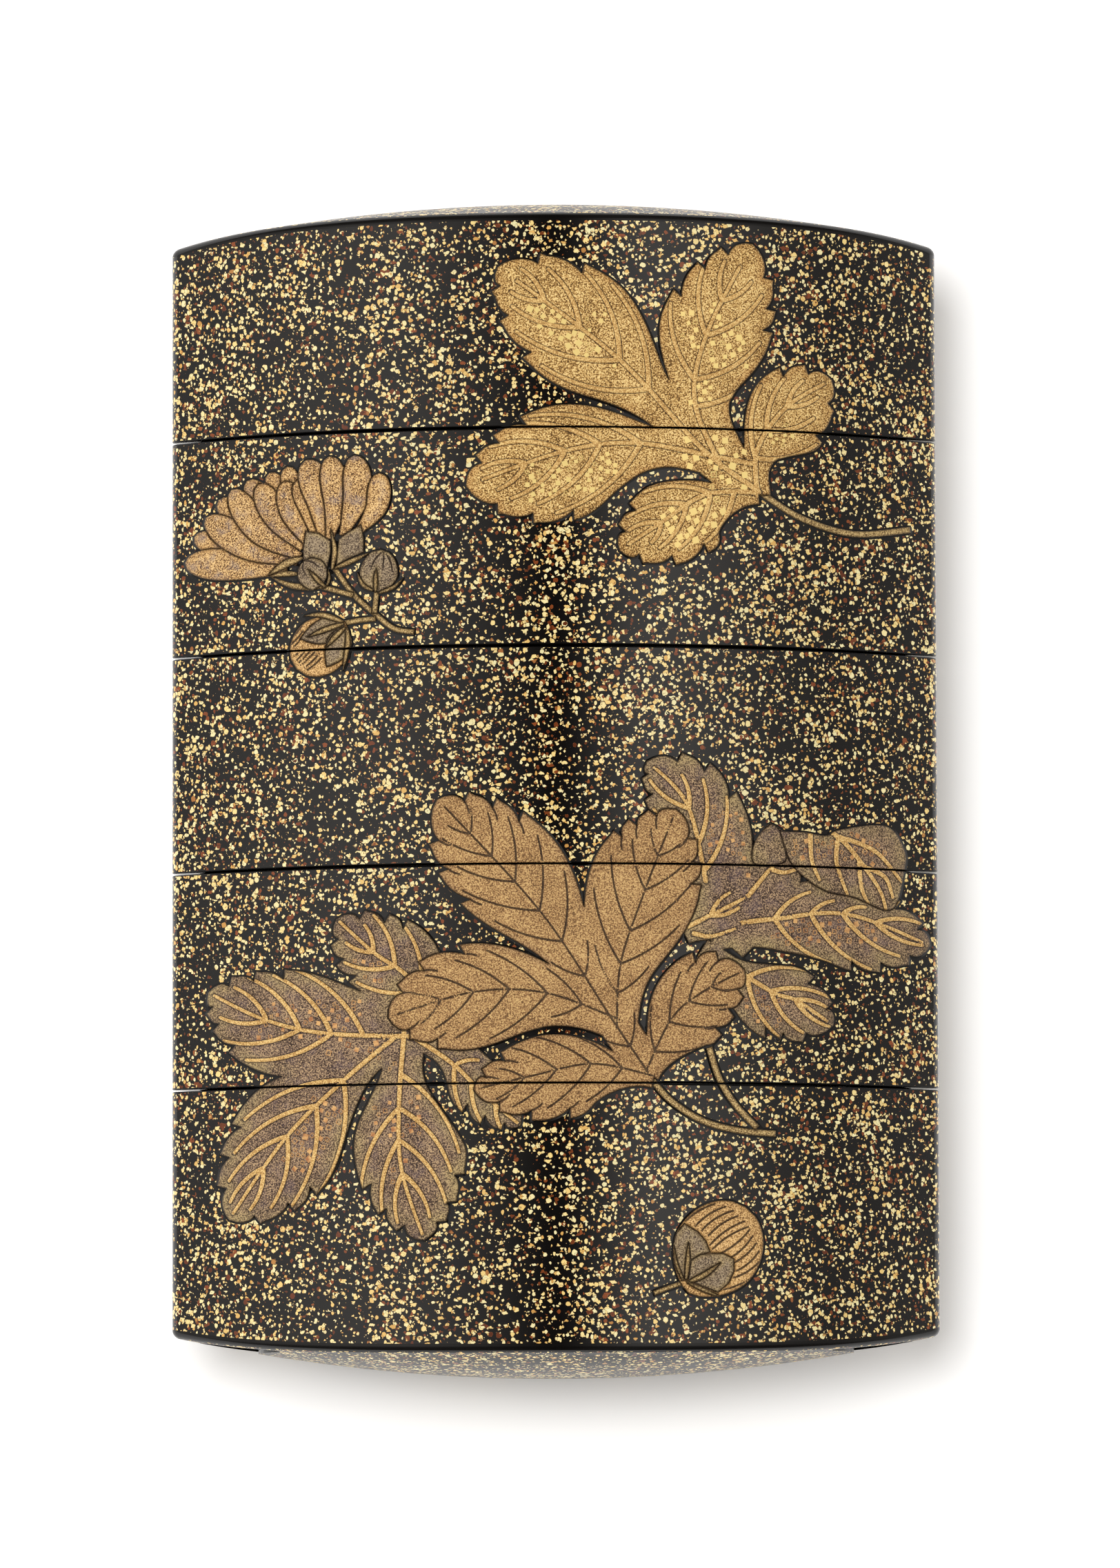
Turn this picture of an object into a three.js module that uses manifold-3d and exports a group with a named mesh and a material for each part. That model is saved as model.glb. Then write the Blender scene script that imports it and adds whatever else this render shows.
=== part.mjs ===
// A four-case inro: a small lacquered wooden case worn on a cord, made of a lid and four stacked trays.
// It lies on its back. X runs across it, Y along it towards the lid, and Z up out of its decorated front.
// The origin is on the ground, under the middle of the case. All sizes are in millimetres.
import * as THREE from "three";
import { mergeVertices } from "three/addons/utils/BufferGeometryUtils.js";
import Module from "manifold-3d";

const wasm = await Module();
wasm.setup();

// ---- Driving sizes of the whole case ----
const WIDTH = 58;
const THICKNESS = 23; // front to back, before the back gets its resting flat
const LENGTH = 89; // between the crowns of the two domed ends
const SIDE_RADIUS = 1.2; // the rounding of the two narrow sides
const RIM_RADIUS = 0.7; // the rounding where a domed end meets the wall
const CROWN_ACROSS = 3.2; // how far a domed end falls from its middle to the narrow side
const CROWN_THROUGH = 1.9; // how far it falls from its middle to the front
const FLAT_WIDTH = 10; // the strip of the back that the case lies on

// ---- Sections: the lid above the top seam, then the trays ----
const LID_LENGTH = 18;
const TRAY_LENGTH = 16.4;
const TRAY_NAMES = ["tray_1", "tray_2", "tray_3", "tray_4"];
const SEAM_GAP = 0.15;

// ---- Walls and joints between sections ----
const SOCKET_WALL = 1.8; // outer wall where it slides over the riser below
const RISER_CLEARANCE = 0.2;
const RISER_WALL = 1;
const RISER_HEIGHT = 4.5;
const SOCKET_DEPTH = 4.8;
const FLOOR = 1.6;
const END_FLOOR = 2.7; // lid's ceiling and last tray's floor, at the middle of the dome
const COMPARTMENT_HALF = 20.5; // from the middle to the rounded end of a compartment
const COMPARTMENT_END_RADIUS = 5.2;

// ---- Cord channels, one through each narrow side ----
const CHANNEL_WALL = 0.9; // between a channel and the outside
const CHANNEL_INNER_WALL = 0.8; // between a channel and the socket
const CHANNEL_REACH = 26.9; // from the middle of the case to the channel's outer end

// ---- Worked out from the sizes above ----
const HALF = THICKNESS / 2;
const SIDE_X = WIDTH / 2 - SIDE_RADIUS;
// The radius of the broad arcs that run tangent to the rounded sides.
const ARC = (SIDE_X ** 2 + HALF ** 2 - SIDE_RADIUS ** 2) / (2 * (HALF - SIDE_RADIUS));
const ARC_DROP = ARC - HALF; // from the middle plane to the centre of an arc
const SIDE_ANGLE = Math.asin(SIDE_X / (ARC - SIDE_RADIUS));
const MIDDLE = Math.sqrt(ARC ** 2 - (FLAT_WIDTH / 2) ** 2) - ARC_DROP; // height of the middle plane
const TOP = LENGTH / 2;
const TOP_SEAM = TOP - LID_LENGTH;
const seamAbove = (tray) => TOP_SEAM - tray * TRAY_LENGTH;
const COMPARTMENT_INSET = SOCKET_WALL + RISER_CLEARANCE + RISER_WALL;

const BROAD_STEPS = 22; // facets of a broad arc
const SIDE_STEPS = 4; // facets of a rounded side
const HOLLOW_STEPS = 10; // facets of a broad wall inside
const HOLLOW_END_STEPS = 6; // facets of a hollow's bulging end

// ---- Low relief on the front ----
const BACK_LEAF_RELIEF = 0.35;
const FRONT_LEAF_RELIEF = 0.5;
const FLOWER_RELIEF = 0.4;
const STALK_RELIEF = 0.25;
const STALK_WIDTH = 0.5;
const TOOTH_NOTCH = 0.6; // how deep the edge steps back behind a leaf's tooth

const lacquer = new THREE.MeshStandardMaterial({ color: 0x4a3a22, roughness: 0.25, metalness: 0.3 });

// ---- Solids from geometry, and back ----

function solidOf(geometry) {
  const bare = geometry.index ? geometry.toNonIndexed() : geometry.clone();
  bare.deleteAttribute("normal");
  bare.deleteAttribute("uv");
  const merged = mergeVertices(bare, 1e-4);
  const mesh = new wasm.Mesh({
    numProp: 3,
    vertProperties: merged.attributes.position.array,
    triVerts: new Uint32Array(merged.index.array),
  });
  return new wasm.Manifold(mesh);
}

function geometryOf(solid) {
  const mesh = solid.getMesh();
  const geometry = new THREE.BufferGeometry();
  geometry.setAttribute("position", new THREE.BufferAttribute(mesh.vertProperties.slice(), 3));
  geometry.setIndex(new THREE.BufferAttribute(mesh.triVerts.slice(), 1));
  const flat = geometry.toNonIndexed();
  flat.computeVertexNormals();
  return flat;
}

// A prism along Y: its outline holds points across the case and through it, measured from the middle plane.
function prismAlong(outline, fromY, toY) {
  const geometry = new THREE.ExtrudeGeometry(new THREE.Shape(outline), {
    depth: toY - fromY,
    bevelEnabled: false,
  });
  return solidOf(geometry.rotateX(Math.PI / 2).translate(0, toY, MIDDLE));
}

function slab(fromY, toY) {
  const size = 2 * WIDTH;
  const box = new THREE.BoxGeometry(size, toY - fromY, size);
  return solidOf(box.translate(0, (fromY + toY) / 2, 0));
}

// ---- The lens-shaped plan of the case ----

// The point of the plan whose outward normal is at this angle from the front, pushed in by inset.
function planPoint(angle, inset) {
  const towardsSide = Math.sin(angle);
  const towardsFront = Math.cos(angle);
  if (Math.abs(towardsFront) < Math.cos(SIDE_ANGLE)) {
    const radius = SIDE_RADIUS - inset;
    return new THREE.Vector2(
      Math.sign(towardsSide) * SIDE_X + radius * towardsSide,
      radius * towardsFront,
    );
  }
  const radius = ARC - inset;
  const drop = Math.sign(towardsFront) * ARC_DROP;
  return new THREE.Vector2(radius * towardsSide, radius * towardsFront - drop);
}

// Normal angles once round the plan, close together on the rounded sides.
function planAngles() {
  const angles = [];
  for (const half of [0, Math.PI]) {
    for (let i = 0; i < BROAD_STEPS; i++) {
      angles.push(half - SIDE_ANGLE + (2 * SIDE_ANGLE * i) / BROAD_STEPS);
    }
    for (let i = 0; i < SIDE_STEPS; i++) {
      angles.push(half + SIDE_ANGLE + ((Math.PI - 2 * SIDE_ANGLE) * i) / SIDE_STEPS);
    }
  }
  return angles;
}

// ---- The outside of the closed case ----

// How high a domed end stands above the middle of the case.
function crownAt(point) {
  const across = point.x / (WIDTH / 2);
  const through = point.y / HALF;
  return TOP - CROWN_ACROSS * across ** 2 - CROWN_THROUGH * through ** 2;
}

function endRings() {
  const angles = planAngles();
  const rim = angles.map((angle) => planPoint(angle, RIM_RADIUS));
  const rings = [];
  for (const turn of [0, 30, 60, 90].map(THREE.MathUtils.degToRad)) {
    const inset = RIM_RADIUS * (1 - Math.cos(turn));
    const below = RIM_RADIUS * (1 - Math.sin(turn));
    rings.push(angles.map((angle, i) => {
      const point = planPoint(angle, inset);
      return new THREE.Vector3(point.x, crownAt(rim[i]) - below, point.y);
    }));
  }
  for (const share of [0.66, 0.33]) {
    rings.push(rim.map((point) => {
      const inner = point.clone().multiplyScalar(share);
      return new THREE.Vector3(inner.x, crownAt(inner), inner.y);
    }));
  }
  return rings;
}

// Joins rings of equal length into one closed surface with a pole at each end.
function loft(firstPole, rings, lastPole) {
  const points = [firstPole, ...rings.flat(), lastPole];
  const count = rings[0].length;
  const at = (ring, i) => 1 + ring * count + (i % count);
  const index = [];
  for (let i = 0; i < count; i++) {
    index.push(0, at(0, i + 1), at(0, i));
    for (let ring = 0; ring + 1 < rings.length; ring++) {
      index.push(at(ring, i), at(ring, i + 1), at(ring + 1, i));
      index.push(at(ring, i + 1), at(ring + 1, i + 1), at(ring + 1, i));
    }
    const last = rings.length - 1;
    index.push(at(last, i), at(last, i + 1), points.length - 1);
  }
  return new THREE.BufferGeometry().setFromPoints(points).setIndex(index);
}

// The whole case as one solid, or lifted by some millimetres to bound a relief on its front.
function caseBody(lift = 0) {
  const upper = endRings();
  const lower = upper.map((ring) => ring.map((p) => new THREE.Vector3(p.x, -p.y, p.z)));
  const rings = [...lower.reverse(), ...upper];
  const geometry = loft(new THREE.Vector3(0, -TOP, 0), rings, new THREE.Vector3(0, TOP, 0));
  const ground = new THREE.BoxGeometry(2 * WIDTH, 2 * LENGTH, WIDTH).translate(0, 0, -WIDTH / 2);
  return solidOf(geometry.translate(0, 0, MIDDLE + lift)).subtract(solidOf(ground));
}

// ---- The hollows ----

// The plan of a compartment, grown by some millimetres: two broad arcs and two bulging ends.
function compartmentOutline(grow) {
  const endCentre = COMPARTMENT_HALF - COMPARTMENT_END_RADIUS;
  const endRadius = COMPARTMENT_END_RADIUS + grow;
  const radius = ARC - COMPARTMENT_INSET + grow;
  // Where the end's circle meets the broad arc, by the distance between their centres.
  const apart = Math.hypot(endCentre, ARC_DROP);
  const along = (apart ** 2 + radius ** 2 - endRadius ** 2) / (2 * apart);
  const corner = Math.atan2(endCentre, ARC_DROP) + Math.acos(along / radius);
  const cornerX = radius * Math.sin(corner);
  const cornerY = radius * Math.cos(corner) - ARC_DROP;
  const endAngle = Math.atan2(cornerY, cornerX - endCentre);
  const points = [];
  for (const side of [1, -1]) {
    for (let i = 0; i < HOLLOW_STEPS; i++) {
      const angle = -corner + (2 * corner * i) / HOLLOW_STEPS;
      points.push([side * radius * Math.sin(angle), side * (radius * Math.cos(angle) - ARC_DROP)]);
    }
    for (let i = 0; i < HOLLOW_END_STEPS; i++) {
      const angle = endAngle * (1 - (2 * i) / HOLLOW_END_STEPS);
      points.push([
        side * (endCentre + endRadius * Math.cos(angle)),
        side * endRadius * Math.sin(angle),
      ]);
    }
  }
  return points.map(([x, y]) => new THREE.Vector2(x, y));
}

// A channel's plan: it fills the tip of the case between the bulging end of the socket and the outer wall.
function channelOutline(side) {
  const endCentre = COMPARTMENT_HALF - COMPARTMENT_END_RADIUS;
  const inner = COMPARTMENT_END_RADIUS + RISER_WALL + RISER_CLEARANCE + CHANNEL_INNER_WALL;
  const radius = ARC - CHANNEL_WALL;
  const hornAngle = THREE.MathUtils.degToRad(42);
  const hornX = endCentre + inner * Math.cos(hornAngle) + CHANNEL_WALL / 2;
  const blunt = 0.6; // the outer end is rounded off over this length
  const wallAt = (x) => Math.sqrt(radius ** 2 - x ** 2) - ARC_DROP;
  const steps = 6;
  const points = [];
  for (let i = 0; i <= steps; i++) {
    const angle = hornAngle * (1 - (2 * i) / steps);
    points.push([endCentre + inner * Math.cos(angle), inner * Math.sin(angle)]);
  }
  for (let i = 0; i <= steps; i++) {
    const x = hornX + ((CHANNEL_REACH - blunt - hornX) * i) / steps;
    points.push([x, -wallAt(x)]);
  }
  points.push([CHANNEL_REACH, -0.5 * wallAt(CHANNEL_REACH)]);
  points.push([CHANNEL_REACH, 0.5 * wallAt(CHANNEL_REACH)]);
  for (let i = steps; i >= 0; i--) {
    const x = hornX + ((CHANNEL_REACH - blunt - hornX) * i) / steps;
    points.push([x, wallAt(x)]);
  }
  return points.map(([x, y]) => new THREE.Vector2(side * x, y));
}

// ---- Leaves, flower and buds ----
// Each is made of blades: lobes, petals and buds. A blade has a rib from its root to its tip, as points across and
// along the case, and pairs of values for the left and right of the rib: the greatest half-width, the half-width at
// the root, the shares of the rib where it starts to widen and is widest, and the shares where its teeth end.

const LOBE = { neck: [1, 1], waist: [0, 0], widest: [0.6, 0.6], teeth: [[], []], swell: 2, taper: 0.7 };
const PETAL = { ...LOBE, neck: [0.3, 0.3], widest: [0.68, 0.68], swell: 1.2, taper: 0.5 };
const BUD = { ...LOBE, neck: [0, 0], widest: [0.5, 0.5], swell: 0.6, taper: 0.5 };

const TOP_LEAF = [
  { rib: [[15.2, 22], [11.1, 25], [4.8, 31.7], [-4.2, 38.6]], width: [4.6, 4.4], neck: [1.5, 1.5],
    waist: [0.28, 0.36], widest: [0.7, 0.7], teeth: [[0.77, 0.89, 0.96], [0.79, 0.91]] },
  { rib: [[12.6, 23.6], [10.6, 28.5], [11.5, 33.6], [15, 40.6]], width: [3.7, 4.6], neck: [1, 2.2],
    waist: [0.22, 0.12], widest: [0.6, 0.62], teeth: [[0.67, 0.81, 0.91], [0.7, 0.79, 0.9]] },
  { rib: [[12, 24.4], [6, 25.3], [0.6, 24.6], [-6.6, 22.1]], width: [5.2, 3.6], neck: [1.4, 1.1],
    waist: [0.12, 0.15], widest: [0.62, 0.62], teeth: [[0.62, 0.79, 0.91], [0.7, 0.82, 0.91]] },
  { rib: [[15.4, 21.8], [11.4, 21.5], [8, 19.3], [4.9, 17.2]], width: [3.9, 2.8], neck: [0.9, 0.6],
    waist: [0, 0.2], widest: [0.5, 0.64], teeth: [[0.54, 0.74, 0.91], [0.77, 0.9]] },
  { rib: [[15.3, 21.6], [15.3, 25], [17.5, 28.3], [21, 30.6]], width: [2.8, 3.8], neck: [0.7, 1],
    waist: [0.16, 0.1], widest: [0.66, 0.6], teeth: [[0.74, 0.88], [0.68, 0.9]] },
];

const FRONT_LEAF = [
  { rib: [[6.9, -21.9], [4.2, -17.9], [-1.1, -9.9], [-8.8, -1.4]], width: [4.1, 4.3], neck: [1.3, 1.5],
    waist: [0.3, 0.3], widest: [0.74, 0.7], teeth: [[0.72, 0.83, 0.91], [0.79, 0.87, 0.94]] },
  { rib: [[4.6, -18.6], [4.9, -13.8], [6.7, -8.4], [9.1, -2.2]], width: [4.4, 4], neck: [1.4, 1.6],
    widest: [0.64, 0.62], teeth: [[0.8, 0.87, 0.94], [0.72, 0.81, 0.9]] },
  { rib: [[4.8, -18], [-0.7, -16], [-6.1, -15.9], [-12.5, -17.7]], width: [4.2, 3.7], neck: [1.6, 1.4],
    waist: [0.05, 0.12], widest: [0.66, 0.66], teeth: [[0.83, 0.93], [0.64, 0.8, 0.91]] },
  { rib: [[7.4, -22.2], [2.8, -21.3], [-1.8, -22.2], [-6.1, -23.2]], width: [3.8, 2.8], neck: [0.9, 0.7],
    waist: [0, 0.1], widest: [0.5, 0.6], teeth: [[0.52, 0.72, 0.88], [0.8, 0.92]] },
  { rib: [[6.7, -22], [8.7, -17.9], [11, -15.9], [14.2, -14.2]], width: [3, 3.6], neck: [0.8, 1.1],
    waist: [0.1, 0], widest: [0.68, 0.5], teeth: [[0.74, 0.87], [0.62, 0.78, 0.9]] },
];

const LEFT_LEAF = [
  { rib: [[-9.5, -19.2], [-17.1, -18.8], [-21.9, -17.6], [-26.2, -15.4]], width: [3.8, 4.3], neck: [1, 2.2],
    waist: [0.15, 0], widest: [0.64, 0.58], teeth: [[0.79, 0.89, 0.95], [0.7, 0.84, 0.93]] },
  { rib: [[-12, -19.2], [-15.8, -22.3], [-20.3, -26.6], [-24.6, -32.6]], width: [4.6, 4.1], neck: [1.2, 1],
    waist: [0.12, 0.12], widest: [0.64, 0.58], teeth: [[0.7, 0.81, 0.93], [0.67, 0.79, 0.9]] },
  { rib: [[-11.3, -18.8], [-11.7, -24.3], [-11.5, -29.2], [-9.8, -34.4]], width: [5, 3.4], neck: [1.6, 1.4],
    waist: [0.14, 0.14], widest: [0.6, 0.54], teeth: [[0.75, 0.87, 0.94], [0.68, 0.8, 0.9]] },
  { rib: [[-10.6, -19.2], [-7.6, -21.3], [-5.3, -23.6], [-2.6, -25.9]], width: [2.2, 2.1], neck: [1.6, 0.6],
    waist: [0, 0.2], widest: [0.55, 0.6], teeth: [[0.62, 0.82], [0.62, 0.76, 0.9]] },
  { rib: [[-8.5, -17.5], [-11.2, -14.5], [-13.6, -12.8], [-16.4, -10.2]], width: [2.9, 3.5], neck: [1.6, 1.6],
    widest: [0.6, 0.5], teeth: [[0.64, 0.77, 0.89], [0.56, 0.73, 0.88]] },
];

// The last lobe of this leaf rises over the one before it and curls back down across the leaf.
const RIGHT_LEAF = [
  { rib: [[12, -11.5], [11.3, -7.6], [9.9, -1.8], [6.9, 1.4]], width: [3.3, 4.1], neck: [2.2, 2.2],
    widest: [0.62, 0.5], teeth: [[0.74, 0.86, 0.95], [0.65, 0.77, 0.88]] },
  { rib: [[11.5, -11], [16.5, -10.3], [22, -9.8], [28.4, -11.9]], width: [2.6, 4.1], neck: [2.2, 1.8],
    waist: [0, 0.1], widest: [0.66, 0.66], teeth: [[0.8, 0.92], [0.68, 0.82, 0.93]] },
  { rib: [[11, -12.6], [16.1, -15.7], [18.1, -16.4], [20.9, -18.2]], width: [2.4, 3.5], neck: [0.8, 1.2],
    waist: [0.2, 0], widest: [0.62, 0.66], teeth: [[0.72, 0.9], [0.58, 0.74, 0.88]] },
  { rib: [[9.5, -11.2], [11.5, -10.2], [14.2, -8.8]], width: [1.9, 1.9], neck: [1.2, 1.2],
    widest: [0.5, 0.5], teeth: [[0.75], [0.75]] },
  { rib: [[12.5, -12], [15.6, -8], [16.2, -3.1]], width: [1.5, 2.6], neck: [2, 2] },
  { rib: [[15.4, -4.8], [19.6, -5.3], [23.6, -5.8], [25.9, -9.6]], width: [2.6, 2.4], neck: [1.2, 1.2],
    widest: [0.66, 0.55], teeth: [[], [0.45, 0.62, 0.8]], taper: 0.5 },
];

// The open flower: each petal's root, middle, tip and half-width, the five at the back first.
const PETALS = [
  [[-22, 17.3], [-24.4, 18.1], [-27.3, 19.2], 0.9],
  [[-21, 18.5], [-23, 19.8], [-25.4, 21.9], 0.95],
  [[-20, 19.5], [-21.5, 21], [-23.2, 23.2], 0.9],
  [[-19.2, 20], [-20.4, 21.6], [-21.5, 23.7], 0.8],
  [[-19, 20.5], [-19.7, 22.3], [-20.1, 24.1], 0.75],
  [[-20.1, 16.2], [-24.1, 16.8], [-28, 17.3], 1.2],
  [[-19.3, 16.8], [-23, 18.2], [-26.4, 20.6], 1.15],
  [[-19.1, 17.2], [-22.1, 19.2], [-24.4, 22.6], 1.05],
  [[-18.9, 17.8], [-20.8, 20.1], [-22.3, 22.9], 1],
  [[-18.6, 18.2], [-19.7, 20.5], [-20.3, 23], 0.95],
  [[-17.9, 18.5], [-18.4, 20.8], [-19.4, 23], 0.85],
  [[-17.4, 18.4], [-17.6, 21.5], [-18.7, 24.5], 1.2],
  [[-16.9, 18.4], [-16.4, 21.4], [-16.9, 24.7], 1.05],
  [[-15.9, 18.6], [-14.8, 21.8], [-15, 24.7], 1.1],
  [[-14.7, 18.9], [-13.3, 20.8], [-13.1, 23.3], 0.9],
];

// Buds and the green cup under the flower: the two ends of each, its half-width, and where it is widest.
const BUDS = [
  [[-18.2, 14.6], [-18.2, 17.1], 1.15, 0.5],
  [[-13.3, 14.3], [-13, 17.5], 1.45, 0.42],
  [[-15.7, 12.1], [-19.4, 8.7], 2.2, 0.5],
  [[-16.4, 16.2], [-14.2, 19.5], 1.2, 0.5],
  [[-16.9, 16.4], [-18.8, 19.2], 1.25, 0.5],
  [[9.9, -38.4], [14.2, -31.9], 3.3, 0.5],
];

const STALKS = [
  [[15.4, 21.9], [18.6, 20], [22.6, 19], [27, 19.6]],
  [[7, -22.2], [8.6, -24], [11, -25.5], [13.7, -26.2], [16.5, -26.4]],
  [[11.5, -20], [12.2, -22.2], [13.4, -24.2], [15.1, -26]],
  [[-16.5, 16.2], [-15.1, 14.2], [-13.4, 12.6], [-12, 11.5], [-10.5, 11.2]],
  [[-17.6, 14.9], [-15.1, 14.1]],
  [[-13.3, 14.6], [-13.5, 12.7]],
  [[-16, 12], [-14.7, 12.2], [-13.4, 12.3]],
  [[10.2, -37.4], [8.6, -37.9], [7.3, -38.4]],
];

// A blade's half-width on one side, at a share of the way along its rib.
function halfWidth(blade, side, share) {
  const widest = blade.widest[side];
  if (share < widest) {
    const rise = Math.max((share - blade.waist[side]) / (widest - blade.waist[side]), 0);
    const gain = blade.width[side] - blade.neck[side];
    return blade.neck[side] + gain * Math.sin((Math.PI / 2) * rise) ** blade.swell;
  }
  const fall = (share - widest) / (1 - widest);
  return blade.width[side] * Math.max(1 - fall ** 2, 0) ** blade.taper;
}

// The edge of a blade on one side from root to tip: it swells forward to each tooth and steps back behind it.
function bladeEdge(blade, side) {
  const curve = new THREE.SplineCurve(blade.rib.map(([x, y]) => new THREE.Vector2(x, y)));
  const leftwards = side === 0 ? 1 : -1;
  const place = (share, away) => {
    const along = curve.getTangentAt(Math.min(share, 1));
    const point = curve.getPointAt(Math.min(share, 1));
    return point.add(new THREE.Vector2(-along.y, along.x).multiplyScalar(away * leftwards));
  };
  const stops = [0, ...blade.teeth[side], 1];
  const points = [];
  for (let tooth = 0; tooth + 1 < stops.length; tooth++) {
    const steps = tooth === 0 ? 7 : 3;
    for (let i = 0; i < steps; i++) {
      const share = THREE.MathUtils.lerp(stops[tooth], stops[tooth + 1], i / steps);
      const width = halfWidth(blade, side, share);
      const step = tooth === 0 ? 0 : Math.min(TOOTH_NOTCH, width / 2) * (1 - i / steps) ** 2;
      points.push(place(share, width - step));
    }
    if (tooth + 2 < stops.length) {
      const end = stops[tooth + 1];
      points.push(place(end + 0.012, halfWidth(blade, side, end)));
    }
  }
  return points;
}

// A plate of one outline, standing through the front wall.
function plate(outline) {
  const geometry = new THREE.ExtrudeGeometry(new THREE.Shape(outline), { depth: THICKNESS, bevelEnabled: false });
  return solidOf(geometry.translate(0, 0, MIDDLE + SIDE_RADIUS / 2));
}

function bladePlate(kind, given) {
  const blade = { ...kind, ...given };
  const tip = new THREE.Vector2(...blade.rib.at(-1));
  return plate([...bladeEdge(blade, 1), tip, ...bladeEdge(blade, 0).reverse()]);
}

function stalkPlate(points) {
  const curve = new THREE.SplineCurve(points.map(([x, y]) => new THREE.Vector2(x, y)));
  const steps = 4 * (points.length - 1);
  const edge = (away) => Array.from({ length: steps + 1 }, (_, i) => {
    const along = curve.getTangentAt(i / steps);
    return curve.getPointAt(i / steps).add(new THREE.Vector2(-along.y, along.x).multiplyScalar(away));
  });
  return plate([...edge(-STALK_WIDTH / 2), ...edge(STALK_WIDTH / 2).reverse()]);
}

// Some plates joined, and cut off a little above the front of the case.
function relief(plates, height) {
  return plates.reduce((all, next) => all.add(next)).intersect(caseBody(height));
}

function decoration() {
  const leaves = [...TOP_LEAF, ...LEFT_LEAF, ...RIGHT_LEAF].map((lobe) => bladePlate(LOBE, lobe));
  const frontLeaf = FRONT_LEAF.map((lobe) => bladePlate(LOBE, lobe));
  const petals = PETALS.map(([root, middle, tip, half]) => (
    bladePlate(PETAL, { rib: [root, middle, tip], width: [half, half] })
  ));
  const buds = BUDS.map(([root, tip, half, widest]) => (
    bladePlate(BUD, { rib: [root, tip], width: [half, half], widest: [widest, widest] })
  ));
  return relief(leaves, BACK_LEAF_RELIEF)
    .add(relief(frontLeaf, FRONT_LEAF_RELIEF))
    .add(relief([...petals, ...buds], FLOWER_RELIEF))
    .add(relief(STALKS.map(stalkPlate), STALK_RELIEF));
}

const body = caseBody().add(decoration());
const channels = [1, -1].map((side) => prismAlong(channelOutline(side), -LENGTH, LENGTH));
const compartment = (fromY, toY, grow = 0) => prismAlong(compartmentOutline(grow), fromY, toY);

// ---- The sections ----

function withoutChannels(solid) {
  return channels.reduce((rest, channel) => rest.subtract(channel), solid);
}

// The hollow under a section that slides over the riser of the tray below it.
function socketAbove(seam) {
  return compartment(seam - 1, seam + SOCKET_DEPTH, RISER_WALL + RISER_CLEARANCE);
}

function lid() {
  const shell = body.intersect(slab(TOP_SEAM + SEAM_GAP / 2, LENGTH));
  const hollow = compartment(TOP_SEAM, TOP - END_FLOOR);
  return withoutChannels(shell.subtract(hollow).subtract(socketAbove(TOP_SEAM)));
}

function tray(number) {
  const top = seamAbove(number);
  const last = number === TRAY_NAMES.length - 1;
  const bottom = last ? -LENGTH : seamAbove(number + 1);
  const floorTop = last ? END_FLOOR - TOP : bottom + SOCKET_DEPTH + FLOOR;
  let shell = body.intersect(slab(bottom + SEAM_GAP / 2, top - SEAM_GAP / 2));
  if (!last) shell = shell.subtract(socketAbove(bottom));
  const riser = compartment(top - 2, top + RISER_HEIGHT, RISER_WALL);
  const hollow = compartment(floorTop, top + RISER_HEIGHT + 1);
  return withoutChannels(shell.add(riser).subtract(hollow));
}

const inro = new THREE.Group();
function addSection(name, solid) {
  const mesh = new THREE.Mesh(geometryOf(solid), lacquer);
  mesh.name = name;
  inro.add(mesh);
}

addSection("lid", lid());
TRAY_NAMES.forEach((name, number) => addSection(name, tray(number)));

export default inro;
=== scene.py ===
# An inro, a lid over four trays, of black lacquer thick with gold flakes. It lies on its back, with gold and
# silver leaves in low relief on its front. X runs across it, Y along it towards the lid, and Z up.
import math
import random

import bmesh
import bpy
import numpy
from mathutils import Euler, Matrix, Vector
from mathutils.bvhtree import BVHTree
from mathutils.geometry import delaunay_2d_cdt
from mathutils.kdtree import KDTree


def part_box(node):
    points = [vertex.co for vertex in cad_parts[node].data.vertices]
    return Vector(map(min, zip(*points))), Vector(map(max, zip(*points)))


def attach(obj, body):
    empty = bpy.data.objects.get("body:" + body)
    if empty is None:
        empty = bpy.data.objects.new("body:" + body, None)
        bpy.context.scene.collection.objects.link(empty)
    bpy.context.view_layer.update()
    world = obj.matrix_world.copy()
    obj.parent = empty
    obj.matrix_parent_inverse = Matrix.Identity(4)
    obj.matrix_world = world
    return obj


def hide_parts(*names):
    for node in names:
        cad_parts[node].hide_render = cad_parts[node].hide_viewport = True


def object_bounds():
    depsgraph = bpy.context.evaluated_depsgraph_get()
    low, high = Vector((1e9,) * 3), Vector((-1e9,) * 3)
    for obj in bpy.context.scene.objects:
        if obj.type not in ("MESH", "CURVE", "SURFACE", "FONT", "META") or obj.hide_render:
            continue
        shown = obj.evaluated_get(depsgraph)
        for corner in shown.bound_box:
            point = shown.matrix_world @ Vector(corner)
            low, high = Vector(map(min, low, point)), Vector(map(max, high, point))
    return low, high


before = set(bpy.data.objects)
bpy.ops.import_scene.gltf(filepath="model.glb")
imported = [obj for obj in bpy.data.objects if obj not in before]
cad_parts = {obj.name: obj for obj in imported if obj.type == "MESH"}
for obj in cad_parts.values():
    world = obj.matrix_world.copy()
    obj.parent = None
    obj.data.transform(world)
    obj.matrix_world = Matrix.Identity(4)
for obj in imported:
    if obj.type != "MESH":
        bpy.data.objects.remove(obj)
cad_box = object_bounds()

# ---- The camera ----
# It looks down on the front of the case from a little beyond the foot end, through a long lens, so that the
# underside of the last tray just shows.

MM = 0.001
LOW, HIGH = cad_box
CASE_WIDTH = HIGH.x - LOW.x
CASE_LENGTH = HIGH.y - LOW.y
CASE_THICKNESS = 23 * MM
FLAT_WIDTH = 10 * MM
SIDE_RADIUS = 1.2 * MM

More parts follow.
